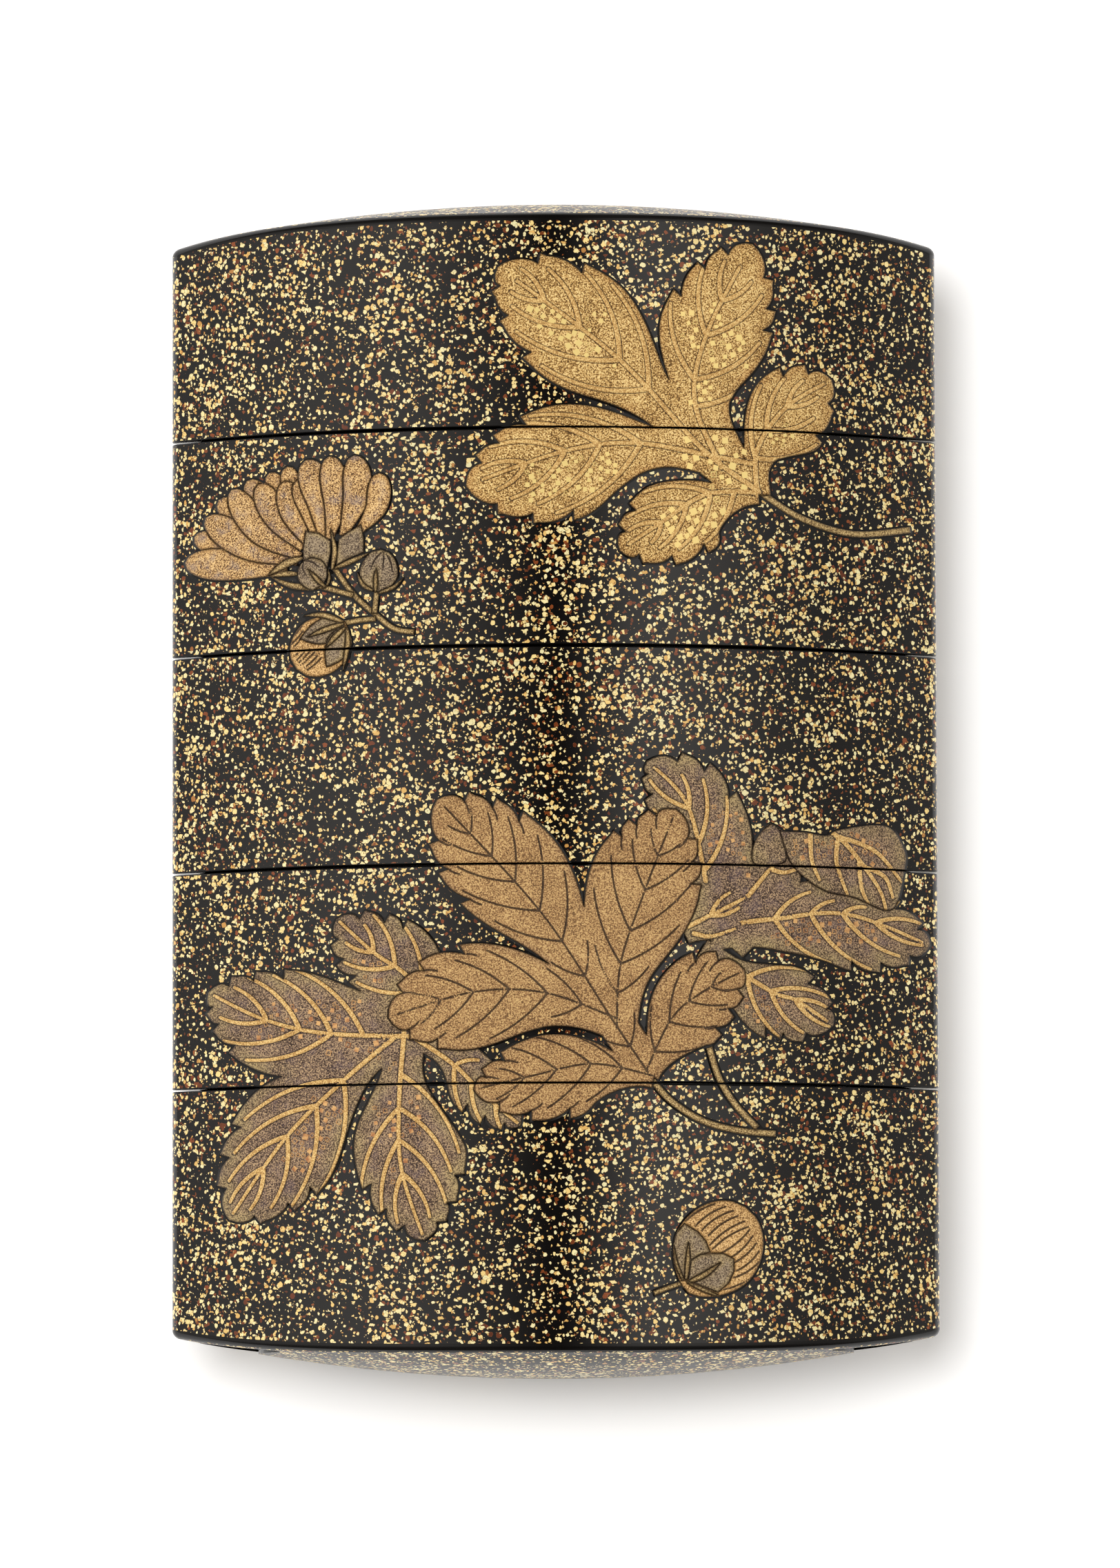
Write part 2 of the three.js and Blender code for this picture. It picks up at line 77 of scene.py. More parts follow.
# The broad front and back are arcs that run tangent to the two rounded sides.
SIDE_X = CASE_WIDTH / 2 - SIDE_RADIUS
HALF = CASE_THICKNESS / 2
ARC = (SIDE_X ** 2 + HALF ** 2 - SIDE_RADIUS ** 2) / (2 * (HALF - SIDE_RADIUS))
ARC_DROP = ARC - HALF
SIDE_ANGLE = math.asin(SIDE_X / (ARC - SIDE_RADIUS))
MIDDLE = math.sqrt(ARC ** 2 - (FLAT_WIDTH / 2) ** 2) - ARC_DROP

CAMERA_DISTANCE = 829 * MM
CAMERA_LEAN = math.radians(4.4)
CAMERA_ROLL = math.radians(-0.15)
VIEW_HEIGHT = 118.9 * MM
SENSOR = 36

aim = Vector((0.4 * MM, 0.55 * MM, MIDDLE))
turn = Euler((CAMERA_LEAN, 0, CAMERA_ROLL))
bpy.ops.object.camera_add()
camera = bpy.context.object
camera.name = "camera"
camera.location = aim + turn.to_matrix() @ Vector((0, 0, CAMERA_DISTANCE))
camera.rotation_euler = turn
camera.data.sensor_fit = "VERTICAL"
camera.data.sensor_height = SENSOR
camera.data.lens = SENSOR * CAMERA_DISTANCE / VIEW_HEIGHT
camera.data.clip_start = 0.01
bpy.context.scene.camera = camera

# ---- The floor and the light ----
# A white table, lit a little from inside so that shadows on it stay pale, under a dome of light. The dome has
# two broad bright bands with a dark gap between them over the crown of the case. A soft lamp hangs at the
# left.


def linear(text):
    """An sRGB hex colour as linear RGBA."""
    channels = [int(text[i:i + 2], 16) / 255 for i in (0, 2, 4)]
    return [c / 12.92 if c <= 0.04045 else ((c + 0.055) / 1.055) ** 2.4 for c in channels] + [1]


def connect(tree, target, inputs):
    """
    Sets a node's inputs, by name or by place among the live ones. A node stands for its first live output.
    """
    live = [socket for socket in target.inputs if socket.enabled]
    for key, value in inputs.items():
        socket = live[key] if isinstance(key, int) else target.inputs[key]
        if isinstance(value, bpy.types.Node):
            value = next(output for output in value.outputs if output.enabled)
        if isinstance(value, bpy.types.NodeSocket):
            tree.links.new(value, socket)
        else:
            socket.default_value = value


def node(tree, kind, settings=None, inputs=None):
    """Adds a node with its settings and inputs; stops are a colour ramp's (position, hex colour) pairs."""
    made = tree.nodes.new(kind)
    for name, value in (settings or {}).items():
        if name == "stops":
            elements = made.color_ramp.elements
            while len(elements) < len(value):
                elements.new(1)
            for element, (position, colour) in zip(elements, value):
                element.position = position
                element.color = linear(colour)
        else:
            setattr(made, name, value)
    connect(tree, made, inputs or {})
    return made


def material(name):
    """A new material, with its tree and its shader node."""
    made = bpy.data.materials.new(name)
    made.use_nodes = True
    tree = made.node_tree
    tree.nodes.clear()
    shader = node(tree, "ShaderNodeBsdfPrincipled")
    node(tree, "ShaderNodeOutputMaterial", {}, {"Surface": shader})
    return made, tree, shader


bpy.context.scene.view_settings.view_transform = "Standard"

bpy.ops.mesh.primitive_plane_add(size=6)
floor = bpy.context.object
floor.name = "table"
# White paper over a light box: an even, matt white.
paper, tree, shader = material("white_paper_table")
connect(tree, shader, {
    "Base Color": linear("F6F6F6"), "Roughness": 0.9, "Specular IOR Level": 0.1,
    "Emission Color": linear("FFFFFF"), "Emission Strength": 0.15,
})
floor.data.materials.append(paper)

# The dome of light that the lacquer mirrors: degrees from straight up to the right, and brightness.
DOME = (
    (-90, 0.5), (-70, 0.72), (-46, 0.98), (-32, 1.02), (-24, 0.82), (-17, 0.58), (-12, 0.42), (-8.5, 0.27),
    (-4.5, 0.13), (-2, 0.04), (1, 0.02), (3.5, 0.11), (5, 0.2), (7.5, 0.4), (11.5, 0.7), (15.5, 1.05),
    (20, 1.2), (26, 1.12), (34, 0.92), (45, 0.55), (58, 0.37), (70, 0.42), (90, 0.5),
)
DOME_BRIGHTEST = 1.25

world = bpy.data.worlds.new("studio")
bpy.context.scene.world = world
world.use_nodes = True
tree = world.node_tree
tree.nodes.clear()
towards = node(tree, "ShaderNodeSeparateXYZ", {}, {0: node(tree, "ShaderNodeTexCoord").outputs["Generated"]})
across = node(tree, "ShaderNodeMath", {"operation": "ARCTAN2"}, {
    0: towards.outputs["X"], 1: towards.outputs["Z"],
})
share = node(tree, "ShaderNodeMapRange", {}, {0: across, 1: -math.pi / 2, 2: math.pi / 2})
sky = node(tree, "ShaderNodeValToRGB", {}, {0: share})
for _ in DOME[2:]:
    sky.color_ramp.elements.new(1)
for stop, (degrees, brightness) in zip(sky.color_ramp.elements, DOME):
    stop.position = (degrees + 90) / 180
    stop.color = [brightness / DOME_BRIGHTEST * c for c in linear("FFFAF4")[:3]] + [1]
# It fades towards the horizon beyond the two ends, where the rounded rims mirror it.
along = node(tree, "ShaderNodeMath", {"operation": "ABSOLUTE"}, {0: towards.outputs["Y"]})
fade = node(tree, "ShaderNodeMapRange", {"interpolation_type": "SMOOTHSTEP"}, {
    0: along, 1: math.sin(math.radians(22)), 2: math.sin(math.radians(50)), 3: DOME_BRIGHTEST, 4: 0.2,
})
glow = node(tree, "ShaderNodeBackground", {}, {"Color": sky, "Strength": fade})
node(tree, "ShaderNodeOutputWorld", {}, {"Surface": glow})

KEY_PLACE = (-0.2, 0.15, 1.2)
KEY_SIZE = 0.5
KEY_POWER = 12
key = bpy.data.objects.new("key", bpy.data.lights.new("key", "AREA"))
key.data.shape = "SQUARE"
key.data.size = KEY_SIZE
key.data.energy = KEY_POWER
key.location = KEY_PLACE
key.rotation_euler = (-Vector(KEY_PLACE)).to_track_quat("-Z", "Y").to_euler()
key.visible_camera = False
key.visible_glossy = False
bpy.context.collection.objects.link(key)

# ---- The five sections of the case ----
# The lid and four trays of thin carved wood, coated in lacquer. Each tray has a riser that the section above
# slides over. Every section has a rounded compartment, and a cord channel through each narrow side.

COMPARTMENT_HALF = 20.5 * MM
COMPARTMENT_END = 5.2 * MM
SOCKET_WALL = 1.8 * MM
CLEARANCE = 0.2 * MM
RISER_WALL = 1 * MM
RISER_HEIGHT = 4.5 * MM
SOCKET_DEPTH = 4.8 * MM
FLOOR = 1.6 * MM
END_FLOOR = 2.7 * MM
COMPARTMENT_INSET = SOCKET_WALL + CLEARANCE + RISER_WALL
CHANNEL_WALL = 0.9 * MM
CHANNEL_INNER_WALL = 0.8 * MM
CHANNEL_REACH = 26.9 * MM
RIM_RADIUS = 0.7 * MM
CROWN_ACROSS = 3.2 * MM
CROWN_THROUGH = 1.9 * MM
SEAM_GAP = 0.15 * MM
SEAM_ROUNDING = 0.1 * MM
PAST = 1 * MM
BROAD_STEPS = 176
SIDE_STEPS = 14
TOP = CASE_LENGTH / 2


def plan_point(angle, inset=0.0):
    """The point of the lens-shaped plan whose outward normal is at this angle from the front."""
    to_side, to_front = math.sin(angle), math.cos(angle)
    if abs(to_front) < math.cos(SIDE_ANGLE):
        radius = SIDE_RADIUS - inset
        return math.copysign(SIDE_X, to_side) + radius * to_side, radius * to_front
    radius = ARC - inset
    return radius * to_side, radius * to_front - math.copysign(ARC_DROP, to_front)


def plan_angles():
    angles = []
    for half in (0, math.pi):
        angles += [half - SIDE_ANGLE + 2 * SIDE_ANGLE * i / BROAD_STEPS for i in range(BROAD_STEPS)]
        turn = math.pi - 2 * SIDE_ANGLE
        angles += [half + SIDE_ANGLE + turn * i / SIDE_STEPS for i in range(SIDE_STEPS)]
    return angles


def plan_ring(inset, y):
    """A ring round the case, with its back cut flat."""
    places = (plan_point(angle, inset) for angle in plan_angles())
    return [(across, y, max(MIDDLE + through, 0)) for across, through in places]


def seam_rings(y, into):
    """Rings over a softly rounded seam edge; into is the way from the seam into the section, 1 or -1."""
    rings = []
    for turn in (0, 30, 60, 90):
        inset = SEAM_ROUNDING * (1 - math.sin(math.radians(turn)))
        rings.append(plan_ring(inset, y + into * (SEAM_ROUNDING * (1 - math.cos(math.radians(turn))))))
    return rings


def crown(across, through):
    """How far along the case a domed end stands from the middle."""
    return TOP - CROWN_ACROSS * (across / (CASE_WIDTH / 2)) ** 2 - CROWN_THROUGH * (through / HALF) ** 2


def dome_rings():
    """Rings from the wall over the rounded rim to the middle of the domed upper end."""
    rings = []
    for turn in (0, 15, 30, 45, 60, 75, 90):
        inset = RIM_RADIUS * (1 - math.cos(math.radians(turn)))
        below = RIM_RADIUS * (1 - math.sin(math.radians(turn)))
        ring = []
        for angle in plan_angles():
            rim = plan_point(angle, RIM_RADIUS)
            across, through = plan_point(angle, inset)
            ring.append((across, crown(*rim) - below, max(MIDDLE + through, 0)))
        rings.append(ring)
    rim = [plan_point(angle, RIM_RADIUS) for angle in plan_angles()]
    for share in (0.93, 0.84, 0.74, 0.63, 0.52, 0.41, 0.3, 0.2, 0.1):
        rings.append([(x * share, crown(x * share, z * share), max(MIDDLE + z * share, 0)) for x, z in rim])
    return rings


def loft(name, rings, first_pole=None, last_pole=None):
    """A closed mesh through rings of equal length. Each end runs to a pole or else is a flat face."""
    count = len(rings[0])
    points = [p for ring in rings for p in ring]
    faces = []
    for ring in range(len(rings) - 1):
        for i in range(count):
            j = (i + 1) % count
            a, b = ring * count, (ring + 1) * count
            faces.append((a + i, a + j, b + j, b + i))
    for pole, ring in ((first_pole, 0), (last_pole, len(rings) - 1)):
        start = ring * count
        if pole is None:
            faces.append(tuple(start + i for i in range(count)))
        else:
            points.append(pole)
            faces += [(start + i, start + (i + 1) % count, len(points) - 1) for i in range(count)]
    mesh = bpy.data.meshes.new(name)
    mesh.from_pydata(points, [], faces)
    work = bmesh.new()
    work.from_mesh(mesh)
    bmesh.ops.recalc_face_normals(work, faces=work.faces)
    work.to_mesh(mesh)
    work.free()
    made = bpy.data.objects.new(name, mesh)
    bpy.context.collection.objects.link(made)
    return made


def compartment_outline(grow):
    """The plan of a hollow: two broad arcs and two bulging ends."""
    end_centre = COMPARTMENT_HALF - COMPARTMENT_END
    end_radius = COMPARTMENT_END + grow
    radius = ARC - COMPARTMENT_INSET + grow
    apart = math.hypot(end_centre, ARC_DROP)
    along = (apart ** 2 + radius ** 2 - end_radius ** 2) / (2 * apart)
    corner = math.atan2(end_centre, ARC_DROP) + math.acos(along / radius)
    corner_x, corner_z = radius * math.sin(corner), radius * math.cos(corner) - ARC_DROP
    end_angle = math.atan2(corner_z, corner_x - end_centre)
    points = []
    for side in (1, -1):
        for i in range(60):
            angle = -corner + 2 * corner * i / 60
            points.append((side * radius * math.sin(angle), side * (radius * math.cos(angle) - ARC_DROP)))
        for i in range(24):
            angle = end_angle * (1 - i / 12)
            points.append((
                side * (end_centre + end_radius * math.cos(angle)), side * end_radius * math.sin(angle)
            ))
    return points


HORN_ANGLE = math.radians(42)
CHANNEL_BLUNT = 0.6 * MM


def channel_outline(side):
    """A cord channel's plan: it fills the tip of the case between the socket and the outer wall."""
    end_centre = COMPARTMENT_HALF - COMPARTMENT_END
    inner = COMPARTMENT_END + RISER_WALL + CLEARANCE + CHANNEL_INNER_WALL
    horn_x = end_centre + inner * math.cos(HORN_ANGLE) + CHANNEL_WALL / 2
    points = []
    for i in range(13):
        angle = HORN_ANGLE * (1 - i / 6)
        points.append((end_centre + inner * math.cos(angle), inner * math.sin(angle)))
    outer = [horn_x + (CHANNEL_REACH - CHANNEL_BLUNT - horn_x) * i / 8 for i in range(9)]
    wall = [(x, math.sqrt((ARC - CHANNEL_WALL) ** 2 - x ** 2) - ARC_DROP) for x in (*outer, CHANNEL_REACH)]
    blunt_z = wall.pop()[1]
    points += [(x, -z) for x, z in wall]
    points += [(CHANNEL_REACH, share * blunt_z) for share in (-0.5, 0.5)]
    points += wall[::-1]
    return [(side * x, z) for x, z in points]


def prism(name, outline, from_y, to_y):
    return loft(name, [[(x, y, MIDDLE + z) for x, z in outline] for y in (from_y, to_y)])


def combine(target, tool, operation):
    """Cuts or joins one mesh with another, and removes the tool."""
    step = target.modifiers.new("step", "BOOLEAN")
    step.operation = operation
    step.solver = "EXACT"
    step.object = tool
    depsgraph = bpy.context.evaluated_depsgraph_get()
    mesh = bpy.data.meshes.new_from_object(target.evaluated_get(depsgraph))
    target.modifiers.remove(step)
    target.data = mesh
    bpy.data.objects.remove(tool)


def outer_shell(name, from_y, to_y):
    """The outside of a section: a wall with softly rounded seam edges, and a dome at an end of the case."""
    rings = []
    first = last = None
    if from_y is None:
        rings += [[(x, -y, z) for x, y, z in ring] for ring in reversed(dome_rings())]
        first = (0, -TOP, MIDDLE)
    else:
        rings += seam_rings(from_y, 1)
    if to_y is None:
        rings += dome_rings()
        last = (0, TOP, MIDDLE)
    else:
        rings += seam_rings(to_y, -1)[::-1]
    return loft(name, rings, first, last)


TRAYS = sorted(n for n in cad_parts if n.startswith("tray"))
# The middle of each seam, from the lid down.
seams = [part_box(name)[0].y - SEAM_GAP / 2 for name in ["lid"] + TRAYS[:-1]]

sections = {}
for index, name in enumerate(["lid"] + TRAYS):
    above = seams[index - 1] if index else None
    below = seams[index] if index < len(seams) else None
    shell = outer_shell(
        name + "_case",
        None if below is None else below + SEAM_GAP / 2,
        None if above is None else above - SEAM_GAP / 2,
    )
    if below is not None:
        grown = compartment_outline(RISER_WALL + CLEARANCE)
        combine(shell, prism("socket", grown, below - PAST, below + SOCKET_DEPTH), "DIFFERENCE")
    if above is not None:
        riser = prism("riser", compartment_outline(RISER_WALL), above - 2 * PAST, above + RISER_HEIGHT)
        combine(shell, riser, "UNION")
    floor_y = END_FLOOR - TOP if below is None else below + SOCKET_DEPTH + FLOOR
    hollow_from = floor_y if above is not None else below
    hollow_to = above + RISER_HEIGHT + PAST if above is not None else TOP - END_FLOOR
    combine(shell, prism("hollow", compartment_outline(0), hollow_from, hollow_to), "DIFFERENCE")
    for side in (1, -1):
        combine(shell, prism("channel", channel_outline(side), -CASE_LENGTH, CASE_LENGTH), "DIFFERENCE")
    sections[name] = shell


# Flaked lacquer is wood under black lacquer, strewn with flat chips of gold foil that are polished level with
# it. The eye gets crisp pale chips of all shapes, browner where they lie deeper, under one deep wet gloss.
# The drifts of chips and the bend of their outlines are in mm.
FLAKE_SMALLEST = 0.3
FLAKE_EDGE = 0.06
FLAKE_TILT = 0.4
FLAKE_METALLIC = 0.4
FLAKE_DRIFT = 3.5
BEND_SIZE = 0.22
BEND = 0.16
FLAKE_COLOURS = ((0, "5E2A12"), (0.17, "944D25"), (0.2, "E6B260"), (0.36, "FFE090"), (1, "FFF6BE"))
FLAKE_LAYERS = (
    # spacing in mm, turn, stretch along three axes, how distance is measured, reach as a share of the spacing
    (0.58, (0.3, 0.5, 0.2), (1, 1, 1), "EUCLIDEAN", 0.42),
    (0.66, (1.1, 0.2, 0.9), (1, 0.6, 1), "CHEBYCHEV", 0.33),
    (0.52, (0.4, 1.3, 2.2), (0.62, 1, 1), "EUCLIDEAN", 0.40),
    (0.42, (2.0, 0.7, 1.5), (1, 1, 0.6), "CHEBYCHEV", 0.31),
)


def flaked_lacquer(name, coat):
    """The flaked ground; coat is how wet its polish looks."""
    made, tree, shader = material(name)
    place = node(tree, "ShaderNodeTexCoord").outputs["Object"]
    # Each chip's outline is broken by bending the place a little before the cells are found.
    bend = node(tree, "ShaderNodeTexNoise", {}, {"Vector": place, "Scale": 1 / (BEND_SIZE * MM), "Detail": 1})
    centred = node(tree, "ShaderNodeVectorMath", {"operation": "SUBTRACT"}, {
        0: bend.outputs["Color"], 1: (0.5, 0.5, 0.5),
    })
    bent = node(tree, "ShaderNodeVectorMath", {"operation": "MULTIPLY_ADD"}, {
        0: centred, 1: (BEND * MM,) * 3, 2: place,
    })
    drift = node(tree, "ShaderNodeTexNoise", {}, {
        "Vector": place, "Scale": 1 / (FLAKE_DRIFT * MM), "Detail": 2,
    })
    surface = node(tree, "ShaderNodeNewGeometry").outputs["Normal"]
    extra = node(tree, "ShaderNodeMapRange", {}, {0: drift, 1: 0.3, 2: 0.7, 3: -0.07, 4: 0.05})

    colour = linear("090706")
    cover = 0
    lean = (0, 0, 0)
    for spacing, turn, stretch, measure, reach in FLAKE_LAYERS:
        turned = node(tree, "ShaderNodeMapping", {}, {
            "Vector": bent, "Rotation": turn, "Scale": [1 / (spacing * MM * s) for s in stretch],
        })
        cells = node(tree, "ShaderNodeTexVoronoi", {"distance": measure}, {"Vector": turned, "Scale": 1})
        own = node(tree, "ShaderNodeSeparateColor", {}, {0: cells.outputs["Color"]})
        size = node(tree, "ShaderNodeMapRange", {}, {
            "Value": own.outputs[0], "To Min": reach * FLAKE_SMALLEST, "To Max": reach,
        })
        level = node(tree, "ShaderNodeMath", {"operation": "ADD"}, {0: size, 1: extra})
        inside = node(tree, "ShaderNodeMath", {"operation": "SUBTRACT"}, {
            0: level, 1: cells.outputs["Distance"],
        })
        chip = node(tree, "ShaderNodeMath", {"operation": "GREATER_THAN"}, {0: inside, 1: 0})
        gold = node(tree, "ShaderNodeValToRGB", {"stops": FLAKE_COLOURS}, {0: own.outputs[1]})
        rim = node(tree, "ShaderNodeMapRange", {}, {"Value": inside, "From Min": 0, "From Max": FLAKE_EDGE})
        shaded = node(tree, "ShaderNodeMix", {"data_type": "RGBA"}, {0: rim, 1: linear("6E4120"), 2: gold})
        colour = node(tree, "ShaderNodeMix", {"data_type": "RGBA"}, {0: chip, 1: colour, 2: shaded})
        cover = node(tree, "ShaderNodeMath", {"operation": "MAXIMUM"}, {0: chip, 1: cover})
        tilt = node(tree, "ShaderNodeVectorMath", {"operation": "SUBTRACT"}, {
            0: cells.outputs["Color"], 1: (0.5, 0.5, 0.5),
        })
        lean = node(tree, "ShaderNodeMix", {"data_type": "VECTOR"}, {0: chip, 1: lean, 2: tilt})
    metal = node(tree, "ShaderNodeMath", {"operation": "MULTIPLY"}, {0: cover, 1: FLAKE_METALLIC})
    leaning = node(tree, "ShaderNodeVectorMath", {"operation": "MULTIPLY_ADD"}, {
        0: lean, 1: (FLAKE_TILT,) * 3, 2: surface,
    })
    facing = node(tree, "ShaderNodeVectorMath", {"operation": "NORMALIZE"}, {0: leaning})
    connect(tree, shader, {
        "Base Color": colour, "Metallic": metal, "Normal": facing, "Roughness": 0.42,
        "Specular IOR Level": 0.04, "Coat Weight": coat, "Coat Roughness": 0.07, "Coat IOR": 1.5,
    })
    return made


# Bare lacquer is the same black lacquer without flakes, inside the case, round its rims, and at the foot of the
# relief. The eye gets a deep black that is wet in the light. On the relief's walls it is painted shade, and on
# the foot it is partly painted shade at the relief's edge.
black_lacquer_and_shade, tree, shader = material("bare_black_lacquer_and_painted_shade")
connect(tree, shader, {
    "Base Color": linear("0B0908"), "Roughness": 0.4, "Specular IOR Level": 0.04, "Coat Weight": 0.7,
    "Coat Roughness": 0.08, "Coat IOR": 1.5,
})

# The ends are polished less than the wall, so their flakes lie under a thinner gloss.
WALL, END, BARE = range(3)
finishes = [
    flaked_lacquer("gold_flaked_black_lacquer", 1),
    flaked_lacquer("flaked_lacquer_of_the_ends", 0.35),
    black_lacquer_and_shade,
]
ON_SURFACE = 0.03 * MM
RIM_REACH = 1.1 * RIM_RADIUS


def finish_of(face):
    """Flakes lie on the outside only, and stop short of the rounded rims."""
    x, y, z = face.center
    through = z - MIDDLE
    if abs(x) > ARC * math.sin(SIDE_ANGLE):
        depth = SIDE_RADIUS - math.hypot(abs(x) - SIDE_X, through)
    else:
        depth = ARC - math.hypot(x, abs(through) + ARC_DROP)
    below = crown(x, through) - abs(y)
    if below < ON_SURFACE and abs(face.normal.y) > 0.9:
        return END
    if below < RIM_REACH and depth < RIM_REACH and abs(face.normal.y) > 0.1:
        return BARE
    on_wall = depth < ON_SURFACE or z < ON_SURFACE
    return WALL if on_wall and abs(face.normal.y) < 0.1 else BARE


for name, shell in sections.items():
    shell.data.materials.clear()
    for finish in finishes:
        shell.data.materials.append(finish)
    shell.data.polygons.foreach_set("material_index", [finish_of(face) for face in shell.data.polygons])
    shell.data.polygons.foreach_set("use_smooth", [True] * len(shell.data.polygons))
    shell.data.set_sharp_from_angle(angle=math.radians(35))
    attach(shell, "root")
    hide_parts(name)


# ---- The leaf on the lid ----
# A five-lobed leaf built up on the case in layers of lacquer, strewn with gold powder and polished. Its veins
# are lines of lacquer laid over it, with small squares of gold foil beside them. Its stem runs off to the
# right.

# All these are in mm, apart from the lean, which is a share of the rib.
LEAF_HEIGHT = 0.35
STALK_HEIGHT = 0.25
STALK_WIDTH = 0.5
TOOTH_NOTCH = 0.75
TOOTH_LEAN = 0.012
VEIN_WIDTH = 0.34

# A blade has a rib from its root to its tip, as points across and along the case in mm, and pairs of values
# for the left and the right of the rib: greatest half-width, half-width at the root, the shares of the rib
# where it starts to widen and is widest, and the shares where its teeth end. A midrib runs between two
# shares, and a pair of veins is a share and where its left and its right one end. What a blade leaves out, it
# takes from LOBE.
LOBE = {
    "neck": (1, 1), "waist": (0, 0), "widest": (0.6, 0.6), "teeth": ((), ()), "swell": 2, "taper": 0.7,
    "midrib": (0, 0.97), "veins": (),
}
TOP_LEAF = (
    {"rib": ((15.2, 22), (11.1, 25), (4.8, 31.7), (-4.2, 38.6)), "width": (4.6, 4.4), "neck": (1.5, 1.5),
     "waist": (0.28, 0.36), "widest": (0.7, 0.7), "teeth": ((0.77, 0.89, 0.96), (0.79, 0.91)),
     "midrib": (0, 0.93),
     "veins": (
        (0.43, (-0.9, 31.1), (4.4, 37.2)), (0.55, (-2.8, 33.7), (2.4, 38.1)),
        (0.7, (-3.1, 35.6), (-0.4, 38.4)), (0.83, (-3.2, 36.7), (-2.4, 38.4)))},
    {"rib": ((12.6, 23.6), (10.6, 28.5), (11.5, 33.6), (15, 40.6)), "width": (3.7, 4.6), "neck": (1, 2.2),
     "waist": (0.22, 0.12), "widest": (0.6, 0.62), "teeth": ((0.67, 0.81, 0.91), (0.7, 0.79, 0.9)),
     "midrib": (0, 0.89),
     "veins": (
        (0.27, None, (15.2, 30.6)), (0.38, (8.8, 35.9), (15.5, 33.1)), (0.57, (11.4, 39), (15.7, 36.7)),
        (0.73, (12.9, 39.2), (14.9, 37.7)))},
    {"rib": ((12, 24.4), (6, 25.3), (0.6, 24.6), (-6.6, 22.1)), "width": (5.2, 3.6), "neck": (1.4, 1.1),
     "waist": (0.12, 0.15), "widest": (0.62, 0.62), "teeth": ((0.62, 0.79, 0.91), (0.7, 0.82, 0.91)),
     "midrib": (-0.15, 0.93),
     "veins": (
        (0.29, (0.2, 20), (-1.8, 27.3)), (0.45, (-1.2, 20.7), (-3.5, 26.6)),
        (0.59, (-3.2, 21.1), (-4.8, 25)), (0.75, (-4.2, 21.8), (-5.4, 23.4)))},
    {"rib": ((15.4, 21.8), (11.4, 21.5), (8, 19.3), (4.9, 17.2)), "width": (3.9, 2.8), "neck": (0.9, 0.6),
     "waist": (0, 0.2), "widest": (0.5, 0.64), "teeth": ((0.54, 0.74, 0.91), (0.77, 0.9)),
     "midrib": (0, 0.93),
     "veins": (
        (0.16, (11.2, 17.8), None), (0.31, (9.4, 17.4), (6.7, 21.6)), (0.48, (7.9, 17.4), (5.5, 19.7)),
        (0.68, (7.3, 17.8), (5.6, 18.7)))},
    {"rib": ((15.3, 21.6), (15.3, 25), (17.5, 28.3), (21, 30.6)), "width": (2.8, 3.8), "neck": (0.7, 1),
     "waist": (0.16, 0.1), "widest": (0.66, 0.6), "teeth": ((0.74, 0.88), (0.68, 0.9)), "midrib": (0, 0.94),
     "veins": (
        (0.24, (15.6, 29.9), (19.8, 25.6)), (0.44, (17.4, 30.5), (19.6, 27.6)),
        (0.65, (18.8, 30.4), (19.9, 29.2)))},
)
TOP_STEM = ((15.4, 21.9), (18.6, 20), (22.6, 19), (27, 19.6))

# The mesh has points this far apart in mm along lines and in the net between them, and none nearer than
# NEAREST. Rows of them run beside each edge, outside it on its foot, beside the seams, and over and beside
# the veins.
POINT_STEP = 0.19
NEAREST = 0.035
GRID_STEP = 0.4
ROW_STEP = GRID_STEP * 0.866
EDGE_ROWS = (0.04, 0.1, 0.19)
FOOT_ROWS = (0.12, 0.26)
SEAM_ROWS = (0.03, 0.08)
VEIN_ROWS = (0, 0.6, 1)
VEIN_FOOT = (0.05, 0.13)

EDGE_ROUNDING = 0.16
FOOT_RISE, FOOT_FALL = 0.04, 0.3
VEIN_RISE = 0.1
VEIN_CUT = 0.08
FOOT_CUT = 0.02
VEIN_BOW = 0.2
BURIED = 0.06


class Rib:
    """A smooth curve through a few points of the plan, read by the share of its length."""

    def __init__(self, knots):
        knots = numpy.array(knots, float)
        spans = len(knots) - 1
        places = []
        for i in range(201):
            span = min(int(spans * i / 200), spans - 1)
            t = spans * i / 200 - span
            before, start, end, after = (knots[min(max(span + k, 0), spans)] for k in (-1, 0, 1, 2))
            leave, arrive = (end - before) / 2, (after - start) / 2
            places.append(
                (2 * start - 2 * end + leave + arrive) * t ** 3
                + (3 * end - 3 * start - 2 * leave - arrive) * t ** 2 + leave * t + start
            )
        self.places = numpy.array(places)
        steps = numpy.linalg.norm(numpy.diff(self.places, axis=0), axis=1)
        self.reached = numpy.concatenate(([0], numpy.cumsum(steps)))
        self.length = self.reached[-1]

    def at(self, share, away=0):
        """The place at this share, moved to the left of the curve. Beyond its ends it runs straight on."""
        along = min(max(share, 0), 1) * self.length
        ends = [
            [numpy.interp(a, self.reached, self.places[:, k]) for k in (0, 1)]
            for a in (max(along - 0.1, 0), min(along + 0.1, self.length))
        ]
        x, y = (numpy.interp(along, self.reached, self.places[:, k]) for k in (0, 1))
        tangent = numpy.subtract(ends[1], ends[0])
        tangent /= numpy.linalg.norm(tangent)
        past = share * self.length - along
        return x + tangent[0] * past - tangent[1] * away, y + tangent[1] * past + tangent[0] * away

    def line(self, first=0, last=1, away=0):
        """Evenly spaced places from one share to another, moved to the left of the curve."""
        steps = round(self.length * (last - first) / POINT_STEP)
        return [self.at(first + (last - first) * i / steps, away) for i in range(steps + 1)]


